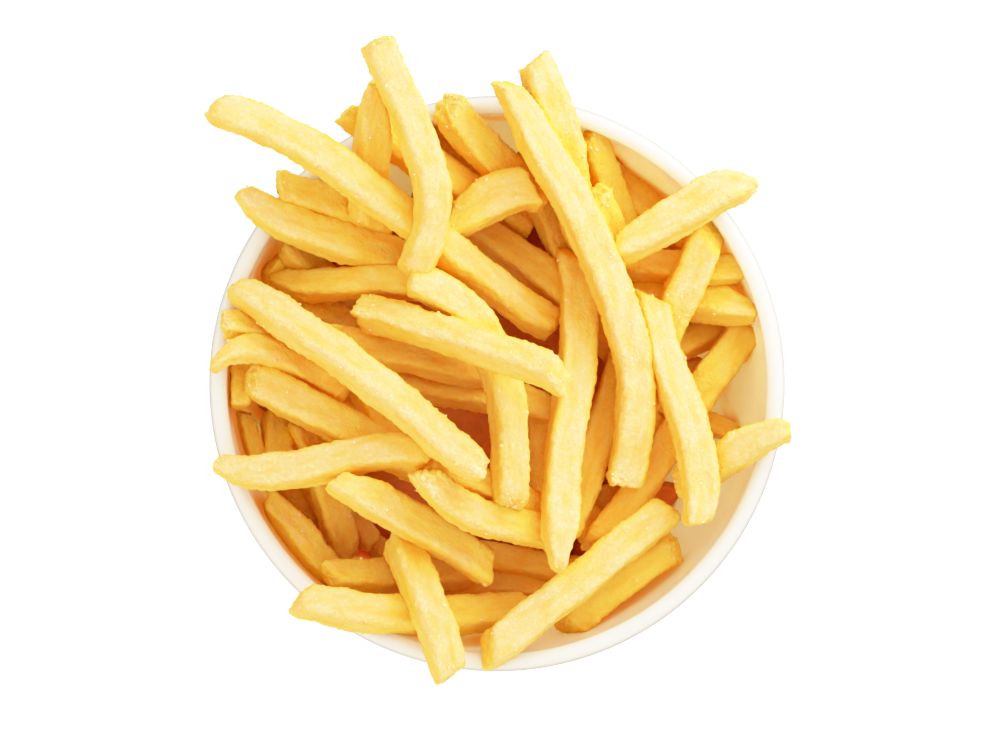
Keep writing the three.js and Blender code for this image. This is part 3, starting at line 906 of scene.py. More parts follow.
fryRelief = {  # scales are for each millimetre of fry
    "cornerGain": 5.4,  # how soon the middle of a face gives way to its corners
    "swellScale": (0.075, 7.3, 0),  # along a fry, and from one fry to the next
    "softPlaces": (0.35, 0.65),  # of the slow pattern, from none to most
    "roundHalf": 0.55,  # half the width of a section that has gone round
    "hollowPower": 2.0,
    "apart": (171.3, 93.1, 57.7),  # mm, from one fry's pattern to that of the next
    "dentScale": 0.12,  # dents of about 8 mm
    "streakScale": 0.7,
    "streakDraw": (0.16, 0.7, 0.7),  # streaks are drawn out along the fry
    "blisterScale": 0.75,  # blisters of about 1.3 mm
    "raggedScale": 0.6,
    "raggedReach": 3.0,  # mm from the tip
    "cornerBlisters": 0.8,  # blisters are this much higher along the corners
    "faceBlisters": 0.4,
}


# A rounded square one unit wide, each point of which remembers its place in it as corner.
def frySection(tree, given):
    square = addNode(tree, "GeometryNodeCurvePrimitiveQuadrilateral", {"Width": 1.0, "Height": 1.0})
    rounded = addNode(tree, "GeometryNodeFilletCurve", {
        "Curve": square.outputs[0], "Count": 5, "Radius": given["Corner Round"],
    }, mode="POLY")
    profile = addNode(tree, "GeometryNodeResampleCurve", {
        "Curve": rounded.outputs[0], "Count": given["Profile Points"],
    })
    corner = addNode(tree, "GeometryNodeInputPosition")
    return addNode(tree, "GeometryNodeStoreNamedAttribute", {
        "Geometry": profile.outputs[0], "Name": "corner", "Value": corner.outputs[0],
    }, data_type="FLOAT_VECTOR").outputs[0]


def pathValues(tree):
    read = {}
    for name in ("centre", "side", "up", "ahead", "lean", "corner"):
        read[name] = addNode(tree, "GeometryNodeInputNamedAttribute", {
            "Name": name,
        }, data_type="FLOAT_VECTOR").outputs[0]
    for name in ("wide", "thick", "ring", "place", "serial", "soft", "fryTip", "fryCrisp"):
        read[name] = addNode(tree, "GeometryNodeInputNamedAttribute", {
            "Name": name,
        }, data_type="FLOAT").outputs[0]
    return read


# 1 on the corners of the section and 0 in the middle of its faces.
def cornerNearness(tree, corner):
    parts = addNode(tree, "ShaderNodeSeparateXYZ", {0: corner})
    product = addNode(tree, "ShaderNodeMath", {
        0: parts.outputs[0], 1: parts.outputs[1],
    }, operation="MULTIPLY")
    bare = addNode(tree, "ShaderNodeMath", {0: product.outputs[0]}, operation="ABSOLUTE")
    return addNode(tree, "ShaderNodeMath", {
        0: bare.outputs[0], 1: fryRelief["cornerGain"],
    }, operation="MULTIPLY", use_clamp=True).outputs[0]


# The section at each station, which swells, thins and softens slowly along the fry.
def swollenSection(tree, given, read):
    ownLine = addNode(tree, "ShaderNodeCombineXYZ", {0: read["place"], 1: read["serial"]})
    lineScale = addNode(tree, "ShaderNodeVectorMath", {
        0: ownLine.outputs[0], 1: fryRelief["swellScale"],
    }, operation="MULTIPLY")
    slow = addNode(tree, "ShaderNodeTexNoise", {
        "Vector": lineScale.outputs[0], "Scale": 1.0, "Detail": 1.0,
    })
    slowParts = addNode(tree, "ShaderNodeSeparateXYZ", {0: slow.outputs["Color"]})
    softer = addNode(tree, "ShaderNodeMapRange", {
        "Value": slowParts.outputs[2], "From Min": fryRelief["softPlaces"][0],
        "From Max": fryRelief["softPlaces"][1], "To Max": given["Softening"],
    }, interpolation_type="SMOOTHSTEP")
    softened = addNode(tree, "ShaderNodeMath", {
        0: read["soft"], 1: given["Softest"], 2: softer.outputs[0],
    }, operation="MULTIPLY_ADD")
    towards = addNode(tree, "ShaderNodeVectorMath", {0: read["corner"]}, operation="NORMALIZE")
    circle = addNode(tree, "ShaderNodeVectorMath", {
        0: towards.outputs[0], "Scale": fryRelief["roundHalf"],
    }, operation="SCALE")
    section = addNode(tree, "ShaderNodeMix", {
        0: softened.outputs[0], 4: read["corner"], 5: circle.outputs[0],
    }, data_type="VECTOR")
    low = addNode(tree, "ShaderNodeMath", {
        0: given["Swell"], 1: -0.5, 2: 1.0,
    }, operation="MULTIPLY_ADD")
    sizes = []
    for size, part in (("wide", 0), ("thick", 1)):
        factor = addNode(tree, "ShaderNodeMath", {
            0: slowParts.outputs[part], 1: given["Swell"], 2: low.outputs[0],
        }, operation="MULTIPLY_ADD")
        grown = addNode(tree, "ShaderNodeMath", {
            0: read[size], 1: factor.outputs[0],
        }, operation="MULTIPLY")
        sizes.append(addNode(tree, "ShaderNodeMath", {
            0: grown.outputs[0], 1: read["ring"],
        }, operation="MULTIPLY").outputs[0])
    return addNode(tree, "ShaderNodeSeparateXYZ", {0: section.outputs[1]}).outputs, sizes


# Puts the section round its station, with faces a little sunk between the corners and leaning cut ends.
def surfacePlace(tree, given, read, edge):
    section, sizes = swollenSection(tree, given, read)
    flat = addNode(tree, "ShaderNodeMath", {0: 1.0, 1: edge}, operation="SUBTRACT")
    flatter = addNode(tree, "ShaderNodeMath", {
        0: flat.outputs[0], 1: fryRelief["hollowPower"],
    }, operation="POWER")
    sunk = addNode(tree, "ShaderNodeMath", {
        0: flatter.outputs[0], 1: given["Face Hollow"],
    }, operation="MULTIPLY")
    kept = addNode(tree, "ShaderNodeMath", {0: 1.0, 1: sunk.outputs[0]}, operation="SUBTRACT")
    leanParts = addNode(tree, "ShaderNodeSeparateXYZ", {0: read["lean"]})
    place = read["centre"]
    shifts = []
    for axis, direction in enumerate(("side", "up")):
        reach = addNode(tree, "ShaderNodeMath", {
            0: section[axis], 1: sizes[axis],
        }, operation="MULTIPLY")
        reach = addNode(tree, "ShaderNodeMath", {
            0: reach.outputs[0], 1: kept.outputs[0],
        }, operation="MULTIPLY")
        arm = addNode(tree, "ShaderNodeVectorMath", {
            0: read[direction], "Scale": reach.outputs[0],
        }, operation="SCALE")
        place = addNode(tree, "ShaderNodeVectorMath", {
            0: place, 1: arm.outputs[0],
        }, operation="ADD").outputs[0]
        shifts.append(addNode(tree, "ShaderNodeMath", {
            0: reach.outputs[0], 1: leanParts.outputs[axis],
        }, operation="MULTIPLY"))
    shift = addNode(tree, "ShaderNodeMath", {
        0: shifts[0].outputs[0], 1: shifts[1].outputs[0],
    }, operation="ADD")
    leaned = addNode(tree, "ShaderNodeVectorMath", {
        0: read["ahead"], "Scale": shift.outputs[0],
    }, operation="SCALE")
    return addNode(tree, "ShaderNodeVectorMath", {
        0: place, 1: leaned.outputs[0],
    }, operation="ADD").outputs[0]


# The fry's own coordinates in millimetres, far apart from one fry to the next.
def ownPlace(tree, read):
    acrossMm = addNode(tree, "ShaderNodeMath", {0: read["wide"], 1: 1 / mm}, operation="MULTIPLY")
    ringMm = addNode(tree, "ShaderNodeMath", {
        0: acrossMm.outputs[0], 1: read["ring"],
    }, operation="MULTIPLY")
    onRing = addNode(tree, "ShaderNodeVectorMath", {
        0: read["corner"], "Scale": ringMm.outputs[0],
    }, operation="SCALE")
    onRingParts = addNode(tree, "ShaderNodeSeparateXYZ", {0: onRing.outputs[0]})
    place = addNode(tree, "ShaderNodeCombineXYZ", {
        0: read["place"], 1: onRingParts.outputs[0], 2: onRingParts.outputs[1],
    })
    apart = addNode(tree, "ShaderNodeVectorMath", {
        0: fryRelief["apart"], "Scale": read["serial"],
    }, operation="SCALE")
    return addNode(tree, "ShaderNodeVectorMath", {
        0: place.outputs[0], 1: apart.outputs[0],
    }, operation="ADD").outputs[0]


# Relief along the normal: broad dents, streaks, small blisters and rough ends.
def crustRelief(tree, given, read, edge):
    where = addNode(tree, "GeometryNodeInputNamedAttribute", {
        "Name": "fryPlace",
    }, data_type="FLOAT_VECTOR").outputs[0]
    dent = addNode(tree, "ShaderNodeTexNoise", {
        "Vector": where, "Scale": fryRelief["dentScale"], "Detail": 1.0,
    })
    drawn = addNode(tree, "ShaderNodeVectorMath", {
        0: where, 1: fryRelief["streakDraw"],
    }, operation="MULTIPLY")
    streak = addNode(tree, "ShaderNodeTexNoise", {
        "Vector": drawn.outputs[0], "Scale": fryRelief["streakScale"], "Detail": 2.0,
    })
    blister = addNode(tree, "ShaderNodeTexNoise", {
        "Vector": where, "Scale": fryRelief["blisterScale"], "Detail": 2.0, "Roughness": 0.6,
    })
    ragged = addNode(tree, "ShaderNodeTexNoise", {
        "Vector": where, "Scale": fryRelief["raggedScale"], "Detail": 3.0, "Roughness": 0.7,
    })
    nearTip = addNode(tree, "ShaderNodeMapRange", {
        "Value": read["fryTip"], "From Min": 0.0, "From Max": fryRelief["raggedReach"],
        "To Min": 1.0, "To Max": 0.0,
    }, interpolation_type="SMOOTHSTEP")
    torn = addNode(tree, "ShaderNodeMath", {
        0: nearTip.outputs[0], 1: read["fryCrisp"],
    }, operation="ADD")
    raggedHeight = addNode(tree, "ShaderNodeMath", {
        0: torn.outputs[0], 1: given["Ragged Height"],
    }, operation="MULTIPLY")
    # blisters stand highest along the corners, and break their line
    cornered = addNode(tree, "ShaderNodeMath", {
        0: edge, 1: fryRelief["cornerBlisters"], 2: fryRelief["faceBlisters"],
    }, operation="MULTIPLY_ADD")
    blisterHeight = addNode(tree, "ShaderNodeMath", {
        0: cornered.outputs[0], 1: given["Blister Height"],
    }, operation="MULTIPLY")
    total = 0.0
    for pattern, height in (
        (dent, given["Dent Depth"]), (streak, given["Streak Height"]),
        (blister, blisterHeight.outputs[0]), (ragged, raggedHeight.outputs[0]),
    ):
        centred = addNode(tree, "ShaderNodeMath", {
            0: pattern.outputs["Fac"], 1: 0.5,
        }, operation="SUBTRACT")
        total = addNode(tree, "ShaderNodeMath", {
            0: centred.outputs[0], 1: height, 2: total,
        }, operation="MULTIPLY_ADD").outputs[0]
    normal = addNode(tree, "GeometryNodeInputNormal")
    return addNode(tree, "ShaderNodeVectorMath", {
        0: normal.outputs[0], "Scale": total,
    }, operation="SCALE").outputs[0]


# Sweeps a rounded square along each centre line, then raises dents, blisters and ragged ends on it.
def sweptFryTree():
    tree, given = newTree("sweptFry", {
        "Profile Points": ("Int", 44),
        "Corner Round": ("Float", 0.15),
        "Softening": ("Float", 0.2),
        "Softest": ("Float", 0.5),
        "Face Hollow": ("Float", 0.065),
        "Swell": ("Float", 0.17),
        "Dent Depth": ("Float", 0.0012),
        "Streak Height": ("Float", 0.0008),
        "Blister Height": ("Float", 0.0013),
        "Ragged Height": ("Float", 0.002),
        "Material": ("Material", None),
    })
    curves = addNode(tree, "GeometryNodeMeshToCurve", {"Mesh": given["Geometry"]})
    sweep = addNode(tree, "GeometryNodeCurveToMesh", {
        "Curve": curves.outputs[0], "Profile Curve": frySection(tree, given), "Fill Caps": True,
    })
    read = pathValues(tree)
    edge = cornerNearness(tree, read["corner"])
    bar = addNode(tree, "GeometryNodeSetPosition", {
        "Geometry": sweep.outputs[0], "Position": surfacePlace(tree, given, read, edge),
    })
    marked = addNode(tree, "GeometryNodeStoreNamedAttribute", {
        "Geometry": bar.outputs[0], "Name": "fryPlace", "Value": ownPlace(tree, read),
    }, data_type="FLOAT_VECTOR")
    marked = addNode(tree, "GeometryNodeStoreNamedAttribute", {
        "Geometry": marked.outputs[0], "Name": "fryEdge", "Value": edge,
    }, data_type="FLOAT")
    relief = addNode(tree, "GeometryNodeSetPosition", {
        "Geometry": marked.outputs[0], "Offset": crustRelief(tree, given, read, edge),
    })
    smooth = addNode(tree, "GeometryNodeSetShadeSmooth", {"Geometry": relief.outputs[0]})
    real = addNode(tree, "GeometryNodeRealizeInstances", {"Geometry": smooth.outputs[0]})
    dressed = addNode(tree, "GeometryNodeSetMaterial", {
        "Geometry": real.outputs[0], "Material": given["Material"],
    })
    addNode(tree, "NodeGroupOutput", {0: dressed.outputs[0]})
    return tree


# Potato fried in oil: a thin crust, creamy where it dried and golden where oil stayed on it, over pale
# flesh that lets some light through. Its film of oil gives only a soft broad gloss. Where a fry sees less
# of the sky its
# colour is painted with shade: deeper gold on sides and hollows, orange deep between the fries, and
# red-brown on fries that lie deep under the others.
fryLooks = {
    "pale": "#ffc480",
    "golden": "#ffb548",
    "shadeGold": "#ffca44",  # painted shade on sides and hollows that see less sky
    "shadeGoldBlotch": "#ffb42c",
    "gapShade": "#ffba14",  # painted shade deep between the fries
    "buriedShade": "#d4600e",  # painted red-brown shade on fries that lie deep under the others
    "amber": "#f6982e",
    "dry": "#ffdfac",  # along the corners
    "shares": {  # of colours: where each starts and where it is fullest, and its share at both
        "golden": (0.4, 0.68, 0, 0.75),  # by patches
        "pits": (0.6, 0.76, 0, 0.45),  # by specks
        "grains": (0.5, 0.66, 0, 0.6),  # by grains, and thicker in some patches than in others
        "thickGrains": (0.6, 0.38, 0.25, 1),
        "ends": (0, 3, 0.3, 0),  # by mm from the tip
        "corners": (0.5, 0.95, 0, 0.35),  # by how near a corner is
        "sideShade": (0.97, 0.55, 0, 0.9),  # painted shade on sides and hollows, by the share of the sky seen
        # painted shade deep between the fries, by the share of the sky seen
        "gapShade": (0.4, 0.04, 0, 0.9),
    },
    "brokenCrust": (0.45, 0.6),  # by specks
    "browningShare": 0.55,
    "buriedShadeSky": (0.95, 0.5),  # share of the sky seen, from the least to the most painted shade
    "buriedShadeLeast": 0.6,
    "buriedShadeMost": 0.9,
    "patchSize": 2.6,  # mm
    "patchStretch": (0.34, 1.0, 1.0),  # patches are long along the fry
    "speckSize": 0.8,
    "grainSize": 1.1,
    "refraction": 1.4,
    "gloss": 0.2,
    "roughness": (0.36, 0.56),
    "roughPatches": (0.3, 0.7),
    "subsurface": 0.35,
    "subsurfaceDepth": 0.0024,  # m
    "subsurfaceTint": (1.0, 0.5, 0.15),  # red light goes furthest in potato
    "crustScale": 1.3,  # for each millimetre, of the fine crust
    "crustHeight": 0.0008,  # m
    "crustStrength": 0.8,
}


# Share of the brown that comes near the ends, and on fries that stayed longer in the oil.
def brownedShare(tree, looks, browning, patches, ends):
    share = addNode(tree, "ShaderNodeMath", {0: browning, 1: patches}, operation="MULTIPLY")
    brown = addNode(tree, "ShaderNodeMath", {0: share.outputs[0], 1: ends}, operation="ADD")
    return addNode(tree, "ShaderNodeMath", {
        0: brown.outputs[0], 1: looks["browningShare"],
    }, operation="MULTIPLY", use_clamp=True).outputs[0]


# Share of the dry pale crust, along the corners and on crisp ends, broken up by specks.
def crustedShare(tree, looks, crisp, specks, corners):
    broken = addNode(tree, "ShaderNodeMapRange", {
        "Value": specks, "From Min": looks["brokenCrust"][0], "From Max": looks["brokenCrust"][1],
    })
    crusts = addNode(tree, "ShaderNodeMath", {0: crisp, 1: corners}, operation="ADD", use_clamp=True)
    return addNode(tree, "ShaderNodeMath", {
        0: crusts.outputs[0], 1: broken.outputs[0],
    }, operation="MULTIPLY").outputs[0]


# Share of the painted red-brown shade on fries that lie deep under the others, more where they see less
# sky.
def buriedShadeShare(tree, looks, browning, skySeen):
    buriedDeep = addNode(tree, "ShaderNodeMath", {
        0: browning, 1: buriedSettings["buriedShadeMark"],
    }, operation="GREATER_THAN")
    dim = addNode(tree, "ShaderNodeMapRange", {
        "Value": skySeen, "From Min": looks["buriedShadeSky"][0], "From Max": looks["buriedShadeSky"][1],
        "To Min": looks["buriedShadeLeast"], "To Max": looks["buriedShadeMost"],
    })
    return addNode(tree, "ShaderNodeMath", {
        0: buriedDeep.outputs[0], 1: dim.outputs[0],
    }, operation="MULTIPLY").outputs[0]


def friedPotatoMaterial(looks):
    material, tree, surface = newMaterial("friedPotato")
    where = addNode(tree, "ShaderNodeAttribute", attribute_name="fryPlace").outputs["Vector"]
    tip, edge, crisp, browning, skySeen = [
        addNode(tree, "ShaderNodeAttribute", attribute_name=name).outputs["Fac"]
        for name in ("fryTip", "fryEdge", "fryCrisp", "fryBrown", "fryOpen")
    ]
    stretched = addNode(tree, "ShaderNodeMapping", {"Vector": where, "Scale": looks["patchStretch"]})
    patches = addNode(tree, "ShaderNodeTexNoise", {
        "Vector": stretched.outputs[0], "Scale": 1 / looks["patchSize"], "Detail": 4.0, "Roughness": 0.65,
    }).outputs["Fac"]
    specks = addNode(tree, "ShaderNodeTexNoise", {
        "Vector": where, "Scale": 1 / looks["speckSize"], "Detail": 2.0, "Roughness": 0.65,
    }).outputs["Fac"]
    grains = addNode(tree, "ShaderNodeTexNoise", {
        "Vector": where, "Scale": 1 / looks["grainSize"], "Detail": 3.0, "Roughness": 0.7,
    }).outputs["Fac"]

    shares = {}
    for name, pattern in (
        ("golden", patches), ("pits", specks), ("grains", grains), ("thickGrains", patches),
        ("ends", tip), ("corners", edge), ("sideShade", skySeen), ("gapShade", skySeen),
    ):
        start, end, least, most = looks["shares"][name]
        shares[name] = addNode(tree, "ShaderNodeMapRange", {
            "Value": pattern, "From Min": start, "From Max": end, "To Min": least, "To Max": most,
        }, interpolation_type="SMOOTHSTEP").outputs[0]
    dusting = addNode(tree, "ShaderNodeMath", {
        0: shares["grains"], 1: shares["thickGrains"],
    }, operation="MULTIPLY")
    # painted shade colours, blotched by the golden patches
    blotchedShadeGold = addNode(tree, "ShaderNodeMix", {
        0: shares["golden"], 6: hexColour(looks["shadeGold"]), 7: hexColour(looks["shadeGoldBlotch"]),
    }, data_type="RGBA")

    # each colour lies over those before it
    colour = hexColour(looks["pale"])
    for share, over in (
        (shares["golden"], hexColour(looks["golden"])),
        (shares["pits"], hexColour(looks["amber"])),
        (dusting.outputs[0], hexColour(looks["dry"])),
        (brownedShare(tree, looks, browning, patches, shares["ends"]), hexColour(looks["amber"])),
        (crustedShare(tree, looks, crisp, specks, shares["corners"]), hexColour(looks["dry"])),
        (shares["sideShade"], blotchedShadeGold.outputs[2]),
        (shares["gapShade"], hexColour(looks["gapShade"])),
        (buriedShadeShare(tree, looks, browning, skySeen), hexColour(looks["buriedShade"])),
    ):
        colour = addNode(tree, "ShaderNodeMix", {
            0: share, 6: colour, 7: over,
        }, data_type="RGBA").outputs[2]
    tree.links.new(colour, surface.inputs["Base Color"])

    dull = addNode(tree, "ShaderNodeMapRange", {
        "Value": patches, "From Min": looks["roughPatches"][0], "From Max": looks["roughPatches"][1],
        "To Min": looks["roughness"][0], "To Max": looks["roughness"][1],
    })
    tree.links.new(dull.outputs[0], surface.inputs["Roughness"])
    fine = addNode(tree, "ShaderNodeTexNoise", {
        "Vector": where, "Scale": looks["crustScale"], "Detail": 4.0, "Roughness": 0.65,
    })
    bump = addNode(tree, "ShaderNodeBump", {
        "Height": fine.outputs["Fac"],
        "Strength": looks["crustStrength"],
        "Distance": looks["crustHeight"],
    })
    tree.links.new(bump.outputs["Normal"], surface.inputs["Normal"])
    surface.inputs["IOR"].default_value = looks["refraction"]
    surface.inputs["Specular IOR Level"].default_value = looks["gloss"]
    surface.inputs["Subsurface Weight"].default_value = looks["subsurface"]
    surface.inputs["Subsurface Radius"].default_value = looks["subsurfaceTint"]
    surface.inputs["Subsurface Scale"].default_value = looks["subsurfaceDepth"]
    return material


skyRays = 22  # directions in which each point looks for the sky
goldenTurn = math.pi * (3 - math.sqrt(5))  # from one to the next, which spreads them evenly


# Stores how much of the sky each point sees past the fries and the bowl: 1 in the open, 0 deep inside.
def opennessTree(rays):
    tree, given = newTree("openness", {
        "Casters": ("Collection", None),
        "Lift": ("Float", 0.0003),
        "Reach": ("Float", 0.022),
    })
    casters = addNode(tree, "GeometryNodeCollectionInfo", {"Collection": given["Casters"]})
    solid = addNode(tree, "GeometryNodeRealizeInstances", {"Geometry": casters.outputs[0]})
    place = addNode(tree, "GeometryNodeInputPosition")
    normal = addNode(tree, "GeometryNodeInputNormal")
    lifted = addNode(tree, "ShaderNodeVectorMath", {
        0: normal.outputs[0], "Scale": given["Lift"],
    }, operation="SCALE")
    start = addNode(tree, "ShaderNodeVectorMath", {
        0: place.outputs[0], 1: lifted.outputs[0],
    }, operation="ADD")
    seen, most = 0.0, 0.0
    for i in range(rays):
        height = (i + 0.5) / rays
        turn = i * goldenTurn
        flat = math.sqrt(1 - height * height)
        direction = (flat * math.cos(turn), flat * math.sin(turn), height)
        facing = addNode(tree, "ShaderNodeVectorMath", {
            0: normal.outputs[0], 1: direction,
        }, operation="DOT_PRODUCT")
        turned = addNode(tree, "ShaderNodeMath", {
            0: facing.outputs["Value"], 1: 0.0,
        }, operation="MAXIMUM")
        cast = addNode(tree, "GeometryNodeRaycast", {
            "Target Geometry": solid.outputs[0],
            "Source Position": start.outputs[0],
            "Ray Direction": direction,
            "Ray Length": given["Reach"],
        })
        free = addNode(tree, "ShaderNodeMath", {
            0: 1.0, 1: cast.outputs["Is Hit"],
        }, operation="SUBTRACT")
        seen = addNode(tree, "ShaderNodeMath", {
            0: turned.outputs[0], 1: free.outputs[0], 2: seen,
        }, operation="MULTIPLY_ADD").outputs[0]
        most += height
    share = addNode(tree, "ShaderNodeMath", {
        0: seen, 1: 1 / most,
    }, operation="MULTIPLY", use_clamp=True)
    blurred = addNode(tree, "GeometryNodeBlurAttribute", {"Value": share.outputs[0], "Iterations": 2})
    stored = addNode(tree, "GeometryNodeStoreNamedAttribute", {
        "Geometry": given["Geometry"], "Name": "fryOpen", "Value": blurred.outputs[0],
    }, data_type="FLOAT")
    addNode(tree, "NodeGroupOutput", {0: stored.outputs[0]})
    return tree


friedPotato = friedPotatoMaterial(fryLooks)
fryTree = sweptFryTree()
pieceNames = {"bottom": "bottomFries", "lower": "lowerFries", "upper": "upperFries", "top": "topFries"}
fryPieces = []
for layer, name in pieceNames.items():
    fries = [fry for fry in heap if fry["name"] == layer]
    paths = pathMesh(name, fries, frySettings)
    fryPieces.append(growPiece(name, paths, fryTree, {"Material": friedPotato}))
paths = pathMesh("buriedFries", buried, frySettings, buriedSettings["facetStretch"])
fryPieces.append(growPiece("buriedFries", paths, fryTree, {
    "Material": friedPotato, "Profile Points": buriedSettings["profilePoints"],
}))
print("fries swept:", [len(piece.data.polygons) for piece in fryPieces])


# Bare core under all the fries: a lens of packed potato between the bowl's floor and the lowest fries.
coreSizes = {  # mm
    "turnSteps": 96,
    "ringSteps": 26,
    "edgeSteps": 400,
    "gap": 0.4,
    "bump": 1.6,
    "bumpTurns": (0.5, 0.45),  # radians for each millimetre
    "browning": 1.9,  # above 1, so the core gets the painted red-brown shade of the deep fries round it
    "tip": 9.0,  # as far from any tip as the middle of a fry
}


def coreMesh(c):
    vertices, faces = [], []
    angles = np.arange(c["turnSteps"]) * 2 * math.pi / c["turnSteps"]
    radii = np.linspace(0.5, heapSettings["moundEdge"], c["edgeSteps"])
    for angle in angles:
        x, y = radii * math.cos(angle), radii * math.sin(angle)
        top = moundHeight(x, y) - buriedSettings["coreDepth"]
        edge = radii[np.argmax(top <= bowlHeight(radii) + 2 * c["gap"])]
        for share in np.linspace(0, 1, c["ringSteps"] + 1)[1:]:
            px, py = edge * share * math.cos(angle), edge * share * math.sin(angle)
            fade = 1 - share ** 4
            lump = math.sin(px * c["bumpTurns"][0] + 1) * math.cos(py * c["bumpTurns"][1])
            lump = lump * c["bump"] * fade
            height = float(moundHeight(px, py)) - buriedSettings["coreDepth"] + lump - c["bump"] * fade
            vertices.append((px, py, height))
        for share in np.linspace(1, 0, c["ringSteps"] + 1)[1:-1]:
            radius = edge * share
            height = float(bowlHeight(np.array(radius))) + c["gap"]
            vertices.append((radius * math.cos(angle), radius * math.sin(angle), height))
    count = 2 * c["ringSteps"] - 1
    top, bottom = len(vertices), len(vertices) + 1
    vertices.append((0, 0, heapSettings["moundTop"] - buriedSettings["coreDepth"] - c["bump"]))
    vertices.append((0, 0, bowlSizes["floorThickness"] + c["gap"]))
    for i in range(c["turnSteps"]):
        a, b = i * count, (i + 1) % c["turnSteps"] * count
        faces.append((top, a, b))
        for k in range(count - 1):
            faces.append((a + k, a + k + 1, b + k + 1, b + k))
        faces.append((a + count - 1, bottom, b + count - 1))
    return newMesh("heapCore", np.array(vertices) * mm, faces, friedPotato)


heapCoreMesh = coreMesh(coreSizes)
count = len(heapCoreMesh.vertices)  # the core carries the same attributes as a fry
places = np.empty(count * 3, dtype=np.float32)
heapCoreMesh.vertices.foreach_get("co", places)
heapCoreMesh.attributes.new("fryPlace", "FLOAT_VECTOR", "POINT").data.foreach_set("vector", places * 1000)
for name, value in (
    ("fryTip", coreSizes["tip"]), ("fryEdge", 0.0), ("fryBrown", coreSizes["browning"]), ("fryCrisp", 0.0),
):
    values = np.full(count, value, dtype=np.float32)
    heapCoreMesh.attributes.new(name, "FLOAT", "POINT").data.foreach_set("value", values)
fryPieces.append(newPiece("heapCore", heapCoreMesh))
print("core done")

casters = bpy.data.collections.new("casters")
for piece in fryPieces + [bowl]:
    casters.objects.link(piece)
skyTree = opennessTree(skyRays)
shaded = fryPieces + [bowl]
opened = [growPiece(piece.name, piece.data, skyTree, {"Casters": casters}) for piece in shaded]
names = [piece.name for piece in shaded]
for piece in shaded:
    bpy.data.objects.remove(piece)
bpy.data.collections.remove(casters)
for piece, name in zip(opened, names):
    piece.name = piece.data.name = name
*fryPieces, bowl = opened
print("openness stored")

# how near the next fry is to each point of the glaze, in mm
graph = bpy.context.evaluated_depsgraph_get()
nets = [BVHTree.FromObject(piece, graph) for piece in fryPieces]
gaps = [min(net.find_nearest(vertex.co)[3] for net in nets) / mm for vertex in bowl.data.vertices]
bowl.data.attributes.new("glazeGap", "FLOAT", "POINT").data.foreach_set("value", gaps)
print("gaps along the glaze stored")


# Crumbs of crust that broke off the ends and corners, dry and pale.
crumbSettings = {
    "Density": 420000.0,  # for a square metre, where it is thickest
    "Least Size": 0.00022,  # m
    "Most Size": 0.0006,
    "Knob Height": 0.0007,
    "Seed": 8,
}
crumbLooks = {
    "name": "friedCrumb",
    "light": "#ffdda0",
    "dark": "#ffbc5c",
    "toneScale": 700.0,  # patches of about 1.4 mm, so that one crumb differs from the next
    "toneDetail": 1.0,
    "roughness": 0.6,
    "refraction": 1.5,
    "gloss": 0.25,
}

# Table salt: clear little cubes that look white and catch the light.
saltSettings = {
    "Density": 8000.0,
    "Least Size": 0.00014,
    "Most Size": 0.00025,
    "Seed": 3,
}
saltLooks = {
    "name": "saltGrain",
    "light": "#fffaf0",
    "dark": "#f3ead8",
    "toneScale": 500.0,
    "toneDetail": 2.0,
    "roughness": 0.22,
    "refraction": 1.54,
    "gloss": 0.5,
}


def grainMaterial(looks):
    material, tree, surface = newMaterial(looks["name"])
    place = addNode(tree, "ShaderNodeTexCoord").outputs["Object"]
    tone = addNode(tree, "ShaderNodeTexNoise", {
        "Vector": place, "Scale": looks["toneScale"], "Detail": looks["toneDetail"],
    })
    tint = addNode(tree, "ShaderNodeMix", {
        0: tone.outputs["Fac"], 6: hexColour(looks["light"]), 7: hexColour(looks["dark"]),
    }, data_type="RGBA")
    tree.links.new(tint.outputs[2], surface.inputs["Base Color"])
    surface.inputs["Roughness"].default_value = looks["roughness"]
    surface.inputs["IOR"].default_value = looks["refraction"]
    surface.inputs["Specular IOR Level"].default_value = looks["gloss"]
    return material


strewing = {  # shares of grains: where each starts and where it is fullest, and its share at both
    "sky": (0.35, 0.6, 0, 1),  # by the share of the sky seen
    "crisp": (0.15, 0.9, 0, 1),  # by how crisp an end is
    "corner": (0.75, 1, 0, 0.06),  # by how near a corner is
    "tip": (0.2, 1.8, 0.22, 0),  # by mm from the tip
    "level": (0.35, 0.8, 0, 1),  # by how level the crust is
    "clump": (0.4, 0.62, 0.1, 1),  # by clumps
    "clumpScale": 160.0,  # clumps of about 6 mm
    "knobScale": 1500.0,  # knobs of about 0.7 mm
    "fullTurn": 6.28,
}


